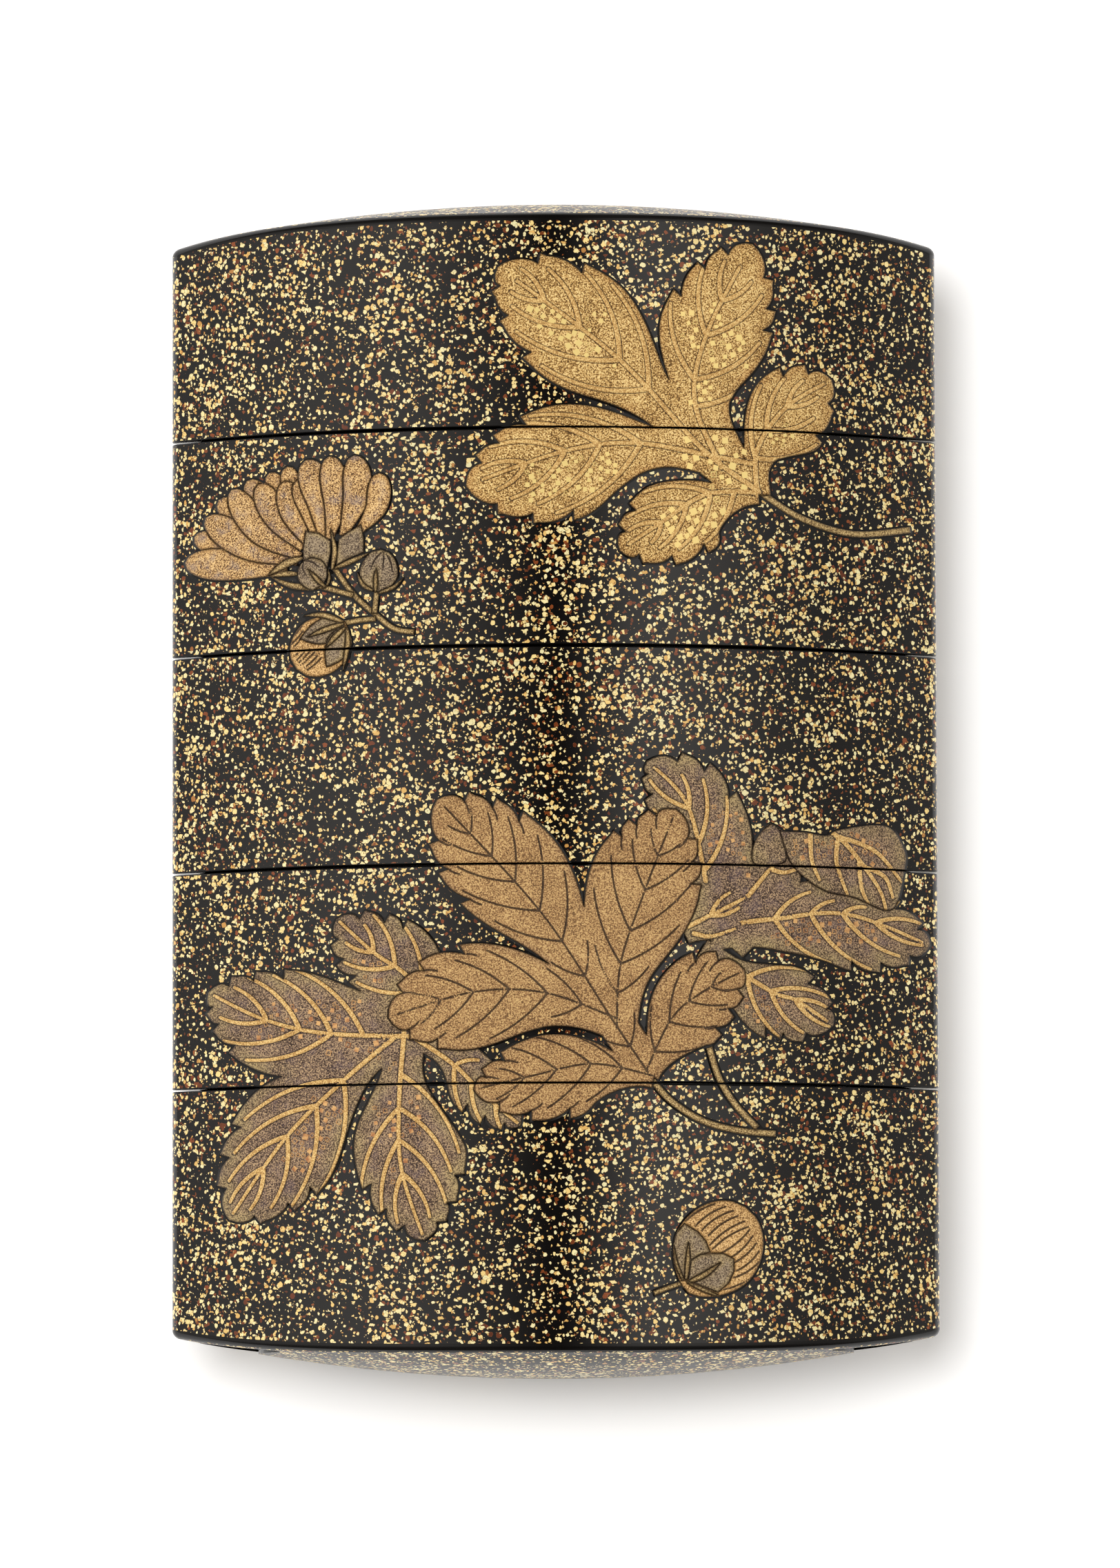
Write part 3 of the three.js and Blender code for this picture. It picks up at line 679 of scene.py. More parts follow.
def half_width(blade, side, share):
    widest, width = blade["widest"][side], blade["width"][side]
    if share < widest:
        rise = max((share - blade["waist"][side]) / (widest - blade["waist"][side]), 0)
        neck = blade["neck"][side]
        return neck + (width - neck) * math.sin(math.pi / 2 * rise) ** blade["swell"]
    return width * max(1 - ((share - widest) / (1 - widest)) ** 2, 0) ** blade["taper"]


def blade_edge(blade, side):
    """The edge on one side of the rib: it swells forward to each tooth and steps back behind it."""
    rib = Rib(blade["rib"])
    leftwards = 1 if side == 0 else -1
    stops = (0, *blade["teeth"][side], 1)
    points = []
    for start, end in zip(stops, stops[1:]):
        steps = max(4, round(rib.length * (end - start) / POINT_STEP))
        for i in range(steps):
            share = start + (end - start) * i / steps
            width = half_width(blade, side, share)
            step = min(TOOTH_NOTCH, width / 2) * (1 - i / steps) ** 2 if start else 0
            points.append(rib.at(share, leftwards * (width - step)))
        if end < 1:
            points.append(rib.at(end + TOOTH_LEAN, leftwards * half_width(blade, side, end)))
    return points


def blade_outline(given):
    blade = {**LOBE, **given}
    return blade_edge(blade, 1) + [blade["rib"][-1]] + blade_edge(blade, 0)[::-1]


def stalk_outline(knots, width=STALK_WIDTH):
    rib = Rib(knots)
    return rib.line(away=-width / 2) + rib.line(away=width / 2)[::-1]


def bowed(start, end, bow):
    """A line between two places that bows out to its left by a share of its length."""
    (x0, y0), (x2, y2) = start, end
    x1, y1 = (x0 + x2) / 2 - bow * (y2 - y0), (y0 + y2) / 2 + bow * (x2 - x0)
    steps = max(3, round(math.dist(start, end) / POINT_STEP))
    line = []
    for i in range(steps + 1):
        t = i / steps
        a, b, c = (1 - t) ** 2, 2 * t * (1 - t), t * t
        line.append((a * x0 + b * x1 + c * x2, a * y0 + b * y1 + c * y2))
    return line


def leaf_veins(lobes, bow=VEIN_BOW):
    """The midrib and the side veins of each lobe, as lines."""
    lines = []
    for given in lobes:
        lobe = {**LOBE, **given}
        rib = Rib(lobe["rib"])
        if lobe["midrib"]:
            lines.append(rib.line(*lobe["midrib"]))
        for share, left, right in lobe["veins"]:
            for end, leftwards in ((left, 1), (right, -1)):
                if end:
                    lines.append(bowed(rib.at(share), end, bow * leftwards))
    return lines


def leftward(outline):
    """The outline, turned so that what it holds lies to its left."""
    turned = sum(x0 * y1 - x1 * y0 for (x0, y0), (x1, y1) in zip(outline, outline[1:] + outline[:1]))
    return outline if turned > 0 else outline[::-1]


def raised_area(outlines, height, finish, veins=(), **more):
    """
    One area of relief, in mm. Its veins have a half-width at their start and lose a share of it, and are raised
    or cut. Crown is how far the area's middle stands over its edge, and how wide it rises.
    """
    return {
        "vein_half": 0.1, "vein_taper": 0.4, "raised": False, "crown": (0, 1), **more, "veins": veins,
        "outlines": [leftward(outline) for outline in outlines], "height": height, "finish": finish,
    }


def raised_leaf(lobes, finish, more_veins=()):
    """A leaf of several lobes, bowed a little, with raised veins."""
    return raised_area(
        [blade_outline(lobe) for lobe in lobes], LEAF_HEIGHT, finish, [*leaf_veins(lobes), *more_veins],
        vein_half=VEIN_WIDTH / 2, raised=True, crown=(0.06, 1.6),
    )


def spaced(line, step):
    """The line with more points, so that none are further apart than step."""
    points = []
    for (x0, y0), (x1, y1) in zip(line, line[1:]):
        parts = max(1, math.ceil(math.hypot(x1 - x0, y1 - y0) / step))
        points += [(x0 + (x1 - x0) * i / parts, y0 + (y1 - y0) * i / parts) for i in range(parts)]
    return points + [line[-1]]


def beside(line, away):
    """The line's points moved to its left."""
    moved = []
    for i, (x, y) in enumerate(line):
        x0, y0 = line[max(i - 1, 0)]
        x1, y1 = line[min(i + 1, len(line) - 1)]
        long = math.hypot(x1 - x0, y1 - y0) or 1
        moved.append((x - (y1 - y0) / long * away, y + (x1 - x0) / long * away))
    return moved


class Plan:
    """Points of the plan, none nearer than a hair to another, and the lines that the mesh has to keep."""

    def __init__(self):
        self.points = []
        self.cells = {}
        self.kept_lines = []

    def add(self, x, y):
        column, row = math.floor(x / NEAREST), math.floor(y / NEAREST)
        for i in (column - 1, column, column + 1):
            for j in (row - 1, row, row + 1):
                found = self.cells.get((i, j))
                if found is not None and math.dist(self.points[found], (x, y)) < NEAREST:
                    return found
        self.cells[column, row] = len(self.points)
        self.points.append((x, y))
        return len(self.points) - 1

    def add_all(self, line):
        for x, y in line:
            self.add(x, y)

    def add_line(self, line):
        indices = [self.add(x, y) for x, y in line]
        self.kept_lines += [(a, b) for a, b in zip(indices, indices[1:]) if a != b]


def inside(outline, places):
    """Which of the places the outline winds round."""
    start = numpy.array(outline)
    end = numpy.roll(start, -1, 0)
    x, y = places[:, :1], places[:, 1:]
    turn = (end[:, 0] - start[:, 0]) * (y - start[:, 1]) - (x - start[:, 0]) * (end[:, 1] - start[:, 1])
    up = (start[:, 1] <= y) & (end[:, 1] > y) & (turn > 0)
    down = (start[:, 1] > y) & (end[:, 1] <= y) & (turn < 0)
    return up.sum(1) != down.sum(1)


def nearest_to(places):
    tree = KDTree(len(places))
    for i, place in enumerate(places):
        tree.insert((place[0], place[1], 0), i)
    tree.balance()
    return tree


def front_height(x):
    """The height of the case's front in mm, this far across it."""
    return (MIDDLE + math.sqrt(ARC ** 2 - (x * MM) ** 2) - ARC_DROP) / MM


def rounded(distance, radius):
    """How far a rounded edge has fallen at this distance from it."""
    if distance >= radius:
        return 0
    return radius - math.sqrt(radius ** 2 - (radius - distance) ** 2)


SEAMS = [y / MM for y in seams]
HALF_GAP = SEAM_GAP / MM / 2
SPANS = dict(zip(["lid"] + TRAYS, zip(
    [y + HALF_GAP for y in SEAMS] + [-math.inf], [math.inf] + [y - HALF_GAP for y in SEAMS]
)))


def relief_plan(areas):
    """The plan of a group of areas, with each vein's places and half-widths added to its area as cores."""
    plan = Plan()
    for area in areas:
        for outline in area["outlines"]:
            plan.add_line(spaced([*outline, outline[0]], 1.3 * POINT_STEP))
    xs, ys = zip(*plan.points)
    low_x, high_x, low_y, high_y = min(xs) - 0.4, max(xs) + 0.4, min(ys) - 0.4, max(ys) + 0.4
    for seam in SEAMS:
        if low_y < seam < high_y:
            for side in (-1, 1):
                for row in (0, *SEAM_ROWS):
                    y = seam + side * (HALF_GAP + row)
                    line = spaced([(low_x, y), (high_x, y)], 2 * POINT_STEP)
                    (plan.add_all if row else plan.add_line)(line)
    for area in areas:
        area["cores"] = []
        for vein in area["veins"]:
            vein = spaced(vein, POINT_STEP)
            left = beside(vein, 1)
            for i, ((x, y), (to_x, to_y)) in enumerate(zip(vein, left)):
                half = area["vein_half"] * (1 - area["vein_taper"] * i / (len(vein) - 1))
                area["cores"].append((x, y, half))
                rows = [half * share for share in VEIN_ROWS] + [half + foot for foot in VEIN_FOOT]
                for row in rows + [-row for row in rows[1:]]:
                    plan.add(x + (to_x - x) * row, y + (to_y - y) * row)
            for place in (vein[0], vein[-1]):
                for foot in VEIN_FOOT:
                    away = area["vein_half"] * (1 - area["vein_taper"]) + foot
                    for turn in range(8):
                        angle = turn * math.pi / 4
                        plan.add(place[0] + away * math.cos(angle), place[1] + away * math.sin(angle))
        for outline in area["outlines"]:
            for row in (*EDGE_ROWS, *(-row for row in FOOT_ROWS)):
                plan.add_all(beside(spaced([*outline, outline[0]], 1.3 * POINT_STEP), row))
    # A loose net of points fills the rest.
    lines = nearest_to(plan.points)
    for row in range(round((high_y - low_y) / ROW_STEP)):
        for column in range(round((high_x - low_x) / GRID_STEP)):
            x = low_x + GRID_STEP * (column + row % 2 / 2)
            y = low_y + ROW_STEP * row
            if lines.find((x, y, 0))[2] > GRID_STEP / 2:
                plan.add(x, y)
    return plan


def triangulated(plan):
    """The plan's corners, and triangles between them that all turn left."""
    corners, _, triangles, *_ = delaunay_2d_cdt(
        [Vector(p) for p in plan.points], plan.kept_lines, [], 0, 1e-6, False
    )
    corners = numpy.array([tuple(c) for c in corners])
    triangles = numpy.array([tuple(t) for t in triangles])
    a, b, c = (corners[triangles[:, k]] for k in range(3))
    turned = (b[:, 0] - a[:, 0]) * (c[:, 1] - a[:, 1]) - (b[:, 1] - a[:, 1]) * (c[:, 0] - a[:, 0])
    real = numpy.abs(turned) > 1e-7
    triangles, turned = triangles[real], turned[real]
    triangles[turned < 0] = triangles[turned < 0][:, ::-1]
    return corners, triangles


def raise_relief(name, areas):
    """
    Meshes a group of areas that lie on the front, the last on top, each a closed shell of its own in a section.
    A foot of bare lacquer runs round them, in part painted shade at their edge, and their walls are bare
    lacquer as painted shade. Points carry two values for the finishes: edge, the distance in mm to the area's
    edge, and line, which is 1 on a raised vein and -1 in a cut or at a vein's foot, where the finishes paint in
    black, partly as shade.
    """
    corners, triangles = triangulated(relief_plan(areas))
    centres = corners[triangles].mean(1)

    labels = numpy.full(len(triangles), -1)
    for rank, area in enumerate(areas):
        for outline in area["outlines"]:
            low, high = numpy.min(outline, 0), numpy.max(outline, 0)
            near = numpy.nonzero(((centres > low) & (centres < high)).all(1))[0]
            labels[near[inside(outline, centres[near])]] = rank

    # The edges of each area: sides of triangles with another area, or none, on the other side.
    owner = {}
    for triangle, label in zip(triangles.tolist(), labels.tolist()):
        for k in range(3):
            owner[triangle[k], triangle[(k + 1) % 3]] = label
    rims = [[] for _ in areas]
    for (start, end), label in owner.items():
        if label >= 0 and owner.get((end, start), -1) != label:
            p, q = corners[start], corners[end]
            rims[label] += [p + (q - p) * share for share in (0, 0.25, 0.5, 0.75)]
    rim_trees = [nearest_to(rim) if rim else None for rim in rims]
    all_rims = nearest_to([place for rim in rims for place in rim])
    foot = len(areas)
    for index in numpy.nonzero(labels < 0)[0]:
        if all_rims.find((*centres[index], 0))[2] < FOOT_ROWS[-1] + 0.01:
            labels[index] = foot

    core_trees = [nearest_to(area["cores"]) if area["cores"] else None for area in areas]

    def point_on(label, x, y):
        """The relief's height over the front in mm here, with the values of edge and line."""
        if label == foot:
            distance = all_rims.find((x, y, 0))[2]
            return FOOT_RISE - FOOT_FALL * distance, distance, 0
        area = areas[label]
        edge = rim_trees[label].find((x, y, 0))[2]
        amount, reach = area["crown"]
        crown = amount * (1 - max(1 - edge / reach, 0) ** 2)
        height = area["height"] - amount + crown - rounded(edge, EDGE_ROUNDING)
        for seam in SEAMS:
            height -= rounded(max(abs(y - seam) - HALF_GAP, 0), SEAM_ROWS[-1])
        line = 0
        if area["cores"]:
            _, core, distance = core_trees[label].find((x, y, 0))
            half = area["cores"][core][2]
            if area["raised"]:
                if distance < half + 0.01:
                    height += VEIN_RISE * math.sqrt(1 - (distance / (half + 0.04)) ** 2)
                    line = 1
                elif distance < half + VEIN_FOOT[-1] - 0.02:
                    height -= FOOT_CUT
                    line = -1
            elif distance < half + VEIN_FOOT[0] * 0.6:
                height -= VEIN_CUT * (1 - distance / (half + VEIN_FOOT[0]))
                line = -1 if distance < half + 0.01 else 0
        return height, edge, line

    kinds = [black_lacquer_and_shade, *dict.fromkeys(area["finish"] for area in areas)]
    pieces = {}
    for section, (low, high) in SPANS.items():
        here = (centres[:, 1] > low) & (centres[:, 1] < high) & (labels >= 0)
        if not here.any():
            continue
        points, faces, finishes, edges, lines = [], [], [], [], []
        for label in numpy.unique(labels[here]).tolist():
            upper = {}
            chosen = triangles[here & (labels == label)].tolist()
            for corner in {corner for triangle in chosen for corner in triangle}:
                x, y = corners[corner]
                height, edge, line = point_on(label, x, y)
                ground = front_height(x)
                upper[corner] = len(points)
                points += [(x * MM, y * MM, (ground + height) * MM), (x * MM, y * MM, (ground - BURIED) * MM)]
                edges += [edge, 0]
                lines += [line, 0]
            sides = {(t[k], t[(k + 1) % 3]) for t in chosen for k in range(3)}
            walls = [(start, end) for start, end in sides if (end, start) not in sides]
            faces += [tuple(upper[corner] for corner in triangle) for triangle in chosen]
            # The foot's faces take the bare black lacquer, in part as painted shade round the relief.
            finishes += [0 if label == foot else kinds.index(areas[label]["finish"])] * len(chosen)
            # The bottoms and walls take the bare black lacquer; on the walls it is painted shade, as their
            # powder would show there.
            faces += [tuple(upper[corner] + 1 for corner in triangle[::-1]) for triangle in chosen]
            faces += [(upper[s] + 1, upper[e] + 1, upper[e], upper[s]) for s, e in walls]
            finishes += [0] * (len(chosen) + len(walls))
        mesh = bpy.data.meshes.new(f"{section}_{name}")
        mesh.from_pydata(points, [], faces)
        for finish in kinds:
            mesh.materials.append(finish)
        mesh.polygons.foreach_set("material_index", finishes)
        mesh.attributes.new("edge", "FLOAT", "POINT").data.foreach_set("value", edges)
        mesh.attributes.new("line", "FLOAT", "POINT").data.foreach_set("value", lines)
        mesh.polygons.foreach_set("use_smooth", [True] * len(mesh.polygons))
        mesh.set_sharp_from_angle(angle=math.radians(55))
        piece = bpy.data.objects.new(mesh.name, mesh)
        bpy.context.collection.objects.link(piece)
        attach(piece, "root")
        pieces[section] = piece
    return pieces


# Powdered lacquer is wet lacquer strewn with gold or silver powder and rubbed down. The eye gets a fine matt
# grain that is browner where the powder lies thin. Round every edge and in every cut the colour is drawn
# towards black lacquer, partly the lacquer's own and partly painted shade, and at the foot of each raised vein
# it is painted shadow. The grain is drawn at 0.11 mm, coarser than the powder, so that it shows. Drifts and
# clouds are in mm too.
GRAIN = 0.11
GRAIN_RISE = 0.006
# The black that edges, cuts and vein feet are drawn towards, partly the lacquer itself and partly painted
# shade.
DARK_LACQUER_AND_SHADE = "322824"


VEIN_TONES = ((0, "A8804A"), (0.45, "D0A565"), (1, "F2D08C"))
POWDER_DRIFT = 2.4
CLOUD = 1.1


def powdered_lacquer(name, tones, edge_tones, edge_reach, cloud_tone=None, cloud=0):
    """
    Tones run from bare lacquer to full powder, and shift within edge_reach mm of an edge. Raised veins are
    brighter. A second powder may lie in clouds over the first, up to a share of it.
    """
    made, tree, shader = material(name)
    place = node(tree, "ShaderNodeTexCoord").outputs["Object"]
    grain = node(tree, "ShaderNodeTexNoise", {}, {
        "Vector": place, "Scale": 1 / (GRAIN * MM), "Detail": 2, "Roughness": 0.6,
    })
    drift = node(tree, "ShaderNodeTexNoise", {}, {
        "Vector": place, "Scale": 1 / (POWDER_DRIFT * MM), "Detail": 3,
    })
    thickness = node(tree, "ShaderNodeMapRange", {}, {0: drift, 1: 0.3, 2: 0.7, 3: -0.16, 4: 0.16})
    spread = node(tree, "ShaderNodeMapRange", {"clamp": False}, {0: grain, 1: 0.38, 2: 0.62, 3: 0, 4: 1})
    level = node(tree, "ShaderNodeMath", {"operation": "ADD"}, {0: spread, 1: thickness})
    colour = node(tree, "ShaderNodeValToRGB", {"stops": tones}, {0: level})
    if cloud_tone:
        clouds = node(tree, "ShaderNodeTexNoise", {}, {
            "Vector": place, "Scale": 1 / (CLOUD * MM), "Detail": 4,
        })
        where = node(tree, "ShaderNodeMapRange", {}, {0: clouds, 1: 0.5, 2: 0.68, 3: 0, 4: cloud})
        colour = node(tree, "ShaderNodeMix", {"data_type": "RGBA"}, {
            0: where, 1: colour, 2: linear(cloud_tone),
        })
    edge = node(tree, "ShaderNodeAttribute", {"attribute_name": "edge"}).outputs["Fac"]
    line = node(tree, "ShaderNodeAttribute", {"attribute_name": "line"}).outputs["Fac"]
    near = node(tree, "ShaderNodeMapRange", {"interpolation_type": "SMOOTHSTEP"}, {
        0: edge, 1: 0.1, 2: edge_reach, 3: 1, 4: 0,
    })
    uneven = node(tree, "ShaderNodeMapRange", {}, {0: drift, 1: 0.35, 2: 0.65, 3: 0.15, 4: 0.75})
    share = node(tree, "ShaderNodeMath", {"operation": "MULTIPLY"}, {0: near, 1: uneven})
    edged = node(tree, "ShaderNodeValToRGB", {"stops": edge_tones}, {0: level})
    colour = node(tree, "ShaderNodeMix", {"data_type": "RGBA"}, {0: share, 1: colour, 2: edged})
    veined = node(tree, "ShaderNodeValToRGB", {"stops": VEIN_TONES}, {0: level})
    on_vein = node(tree, "ShaderNodeMapRange", {}, {0: line, 1: 0.2, 2: 0.6})
    colour = node(tree, "ShaderNodeMix", {"data_type": "RGBA"}, {0: on_vein, 1: colour, 2: veined})
    # Painted shade: round each edge and in each cut the powder gives way to black, partly real lacquer and
    # partly shade, and at the foot of each raised vein as painted shadow.
    rim = node(tree, "ShaderNodeMapRange", {}, {0: edge, 1: 0.02, 2: 0.14, 3: 0.75, 4: 0})
    cut = node(tree, "ShaderNodeMapRange", {}, {0: line, 1: -0.8, 2: -0.2, 3: 0.85, 4: 0})
    lacquer_and_shade = node(tree, "ShaderNodeMath", {"operation": "MAXIMUM"}, {0: rim, 1: cut})
    colour = node(tree, "ShaderNodeMix", {"data_type": "RGBA"}, {0: lacquer_and_shade, 1: colour, 2: linear(DARK_LACQUER_AND_SHADE)})
    rough = node(tree, "ShaderNodeBump", {}, {"Height": grain, "Distance": GRAIN_RISE * MM, "Strength": 1})
    connect(tree, shader, {
        "Base Color": colour, "Normal": rough, "Metallic": 0.3, "Roughness": 0.5, "Specular IOR Level": 0.25,
    })
    return made


# Fine gold powder, thick and rubbed bright, and for the stalks a thinner coat of paler gold.
bright_gold = powdered_lacquer(
    "bright_gold_powder", ((0, "5E4424"), (0.3, "9E7844"), (0.6, "D2A866"), (1, "F6D896")),
    ((0, "5E4026"), (0.5, "A4763F"), (1, "D0A060")), 0.9,
)
stalk_gold = powdered_lacquer(
    "stalk_gold_powder", ((0, "6A5438"), (0.4, "A68A5A"), (1, "D8BC84")),
    ((0, "5E4A30"), (0.5, "94784C"), (1, "C4A46C")), 0.2,
)
top_leaf = raise_relief("top_leaf", [
    raised_area([stalk_outline(TOP_STEM)], STALK_HEIGHT, stalk_gold), raised_leaf(TOP_LEAF, bright_gold),
])

# Squares cut from thin gold foil are laid on the wet lacquer one by one, closest beside the midribs. Some
# have worn through in the middle and show only as frames. The frame's width and the room kept are shares of a
# square.
FOIL = 0.03
FRAME = 0.2
KEPT_APART = 1.35
CLEAR_OF_EDGE = 0.25
TOP_SQUARES = (
    # middle of a patch, its half-length and half-width, its turn in degrees, and how many squares of what size
    (0.6, 34, 3.3, 0.95, -37, 46, 0.42), (3.2, 34.2, 0.8, 0.8, 0, 6, 0.3), (2.6, 30.6, 3.4, 0.9, 0, 12, 0.3),
    (-1, 37, 2.2, 0.5, 0, 6, 0.3), (13.1, 32.5, 1.3, 1.7, 10, 26, 0.42), (10.4, 34, 0.7, 1.5, 0, 10, 0.34),
    (11, 29.1, 0.8, 0.9, 0, 7, 0.34), (12.2, 35, 0.4, 1, 0, 5, 0.34), (1.5, 22.8, 3.6, 1.4, 10, 40, 0.36),
    (12.1, 23.9, 2.4, 2, 0, 18, 0.46), (10.5, 19.7, 2.5, 1.5, 30, 32, 0.46),
    (17.2, 26.2, 0.9, 0.8, 0, 8, 0.3),
)

def foil_nodes():
    """The tree that lays a square or a frame of foil on each point, by the point's own size, turn and lie."""
    group = bpy.data.node_groups.new("foil_squares", "GeometryNodeTree")
    kinds = {
        "Geometry": "Geometry", "Thickness": "Float", "Share of frames": "Float", "Seed": "Int",
        "Finish": "Material",
    }
    sockets = {
        label: group.interface.new_socket(label, in_out="INPUT", socket_type="NodeSocket" + kind)
        for label, kind in kinds.items()
    }
    group.interface.new_socket("Geometry", in_out="OUTPUT", socket_type="NodeSocketGeometry")
    given = node(group, "NodeGroupInput").outputs
    own = {
        name: node(group, "GeometryNodeInputNamedAttribute", {"data_type": kind}, {"Name": name})
        for name, kind in (("size", "FLOAT"), ("turn", "FLOAT"), ("lie", "FLOAT_VECTOR"))
    }
    flat = node(group, "FunctionNodeAlignRotationToVector", {"axis": "Z"}, {"Vector": own["lie"]})
    spin = node(group, "FunctionNodeAxisAngleToRotation", {}, {"Axis": (0, 0, 1), "Angle": own["turn"]})
    placed = node(group, "FunctionNodeRotateRotation", {"rotation_space": "LOCAL"}, {0: flat, 1: spin})
    scale = node(group, "ShaderNodeCombineXYZ", {}, {"X": own["size"], "Y": own["size"], "Z": 1})
    sheet = node(group, "ShaderNodeCombineXYZ", {}, {"X": 1, "Y": 1, "Z": given["Thickness"]})
    square = node(group, "GeometryNodeMeshCube", {}, {"Size": sheet})
    path = node(group, "GeometryNodeCurvePrimitiveQuadrilateral", {}, {
        "Width": 1 - FRAME, "Height": 1 - FRAME,
    })
    bar = node(group, "GeometryNodeCurvePrimitiveQuadrilateral", {}, {
        "Width": FRAME, "Height": given["Thickness"],
    })
    frame_shape = node(group, "GeometryNodeCurveToMesh", {}, {0: path, 1: bar})
    chance = node(group, "FunctionNodeRandomValue", {"data_type": "BOOLEAN"}, {
        "Probability": given["Share of frames"], "Seed": given["Seed"],
    })
    whole = node(group, "FunctionNodeBooleanMath", {"operation": "NOT"}, {0: chance.outputs[3]})
    laid = node(group, "GeometryNodeJoinGeometry")
    for shape, chosen in ((square, whole.outputs[0]), (frame_shape, chance.outputs[3])):
        copies = node(group, "GeometryNodeInstanceOnPoints", {}, {
            "Points": given["Geometry"], "Instance": shape, "Selection": chosen, "Rotation": placed,
            "Scale": scale,
        })
        group.links.new(copies.outputs[0], laid.inputs[0])
    real = node(group, "GeometryNodeRealizeInstances", {}, {0: laid})
    finished = node(group, "GeometryNodeSetMaterial", {}, {0: real, "Material": given["Finish"]})
    node(group, "NodeGroupOutput", {}, {0: finished})
    return group, sockets


foil_tree, foil_sockets = foil_nodes()


def lay_squares(name, reliefs, patches, finish, frames, seed):
    """Strews squares over patches of the reliefs, clear of their veins and edges, as one piece."""
    chance = random.Random(seed)
    surfaces = []
    for relief in reliefs:
        mesh = relief.data
        faces = [face.vertices[:] for face in mesh.polygons]
        surfaces.append((BVHTree.FromPolygons([vertex.co for vertex in mesh.vertices], faces), mesh))
    laid, sizes, turns, lies = [], [], [], []
    for x, y, long, wide, degrees, count, size in patches:
        middle = Vector((x, y))
        angle = math.radians(degrees)
        for _ in range(12 * count):
            u, v = chance.uniform(-long, long), chance.uniform(-wide, wide)
            own = size * chance.uniform(0.75, 1.15)
            turned = angle + chance.uniform(-0.35, 0.35)
            spot = Vector((
                x + u * math.cos(angle) - v * math.sin(angle), y + u * math.sin(angle) + v * math.cos(angle)
            ))
            if any((spot - other).length < KEPT_APART * own for other in laid):
                continue
            for tree, mesh in surfaces:
                place, normal, index, _ = tree.ray_cast(Vector((*spot, 1000)) * MM, Vector((0, 0, -1)))
                if place is None:
                    continue
                edge, line = mesh.attributes["edge"].data, mesh.attributes["line"].data
                corners = mesh.polygons[index].vertices
                clear = min(edge[c].value for c in corners) > CLEAR_OF_EDGE
                if clear and not any(line[c].value for c in corners):
                    laid.append(spot)
                    sizes.append(own * MM)
                    turns.append(turned)
                    lies.append((place + normal * FOIL * MM / 3, normal))
            if sum((other - middle).length < long + wide for other in laid) >= count:
                break
    mesh = bpy.data.meshes.new(name)
    mesh.from_pydata([place for place, _ in lies], [], [])
    mesh.attributes.new("size", "FLOAT", "POINT").data.foreach_set("value", sizes)
    mesh.attributes.new("turn", "FLOAT", "POINT").data.foreach_set("value", turns)
    upwards = [part for _, normal in lies for part in normal]
    mesh.attributes.new("lie", "FLOAT_VECTOR", "POINT").data.foreach_set("vector", upwards)
    piece = bpy.data.objects.new(name, mesh)
    bpy.context.collection.objects.link(piece)
    laying = piece.modifiers.new("foil", "NODES")
    laying.node_group = foil_tree
    values = {"Thickness": FOIL * MM, "Share of frames": frames, "Seed": seed, "Finish": finish}
    for label, value in values.items():
        laying[foil_sockets[label].identifier] = value
    depsgraph = bpy.context.evaluated_depsgraph_get()
    plain = bpy.data.meshes.new_from_object(piece.evaluated_get(depsgraph))
    piece.modifiers.remove(laying)
    piece.data = plain
    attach(piece, "root")


# Gold foil is a thin leaf of beaten gold. The eye gets small plain squares, paler and smoother than powder.
pale_foil, tree, shader = material("pale_gold_foil")
connect(tree, shader, {
    "Base Color": linear("F0D488"), "Metallic": 0.35, "Roughness": 0.35, "Specular IOR Level": 0.3,
})
lay_squares("top_leaf_gold_squares", top_leaf.values(), TOP_SQUARES, pale_foil, 0.15, 11)


# ---- The three overlapping leaves ----
# Two darker leaves, strewn with less gold over silver, spread to the left and the right. A plain matt gold
# one lies over both, with its veins cut in. The right leaf's last lobe curls over. Two stems run to the lower
# right.

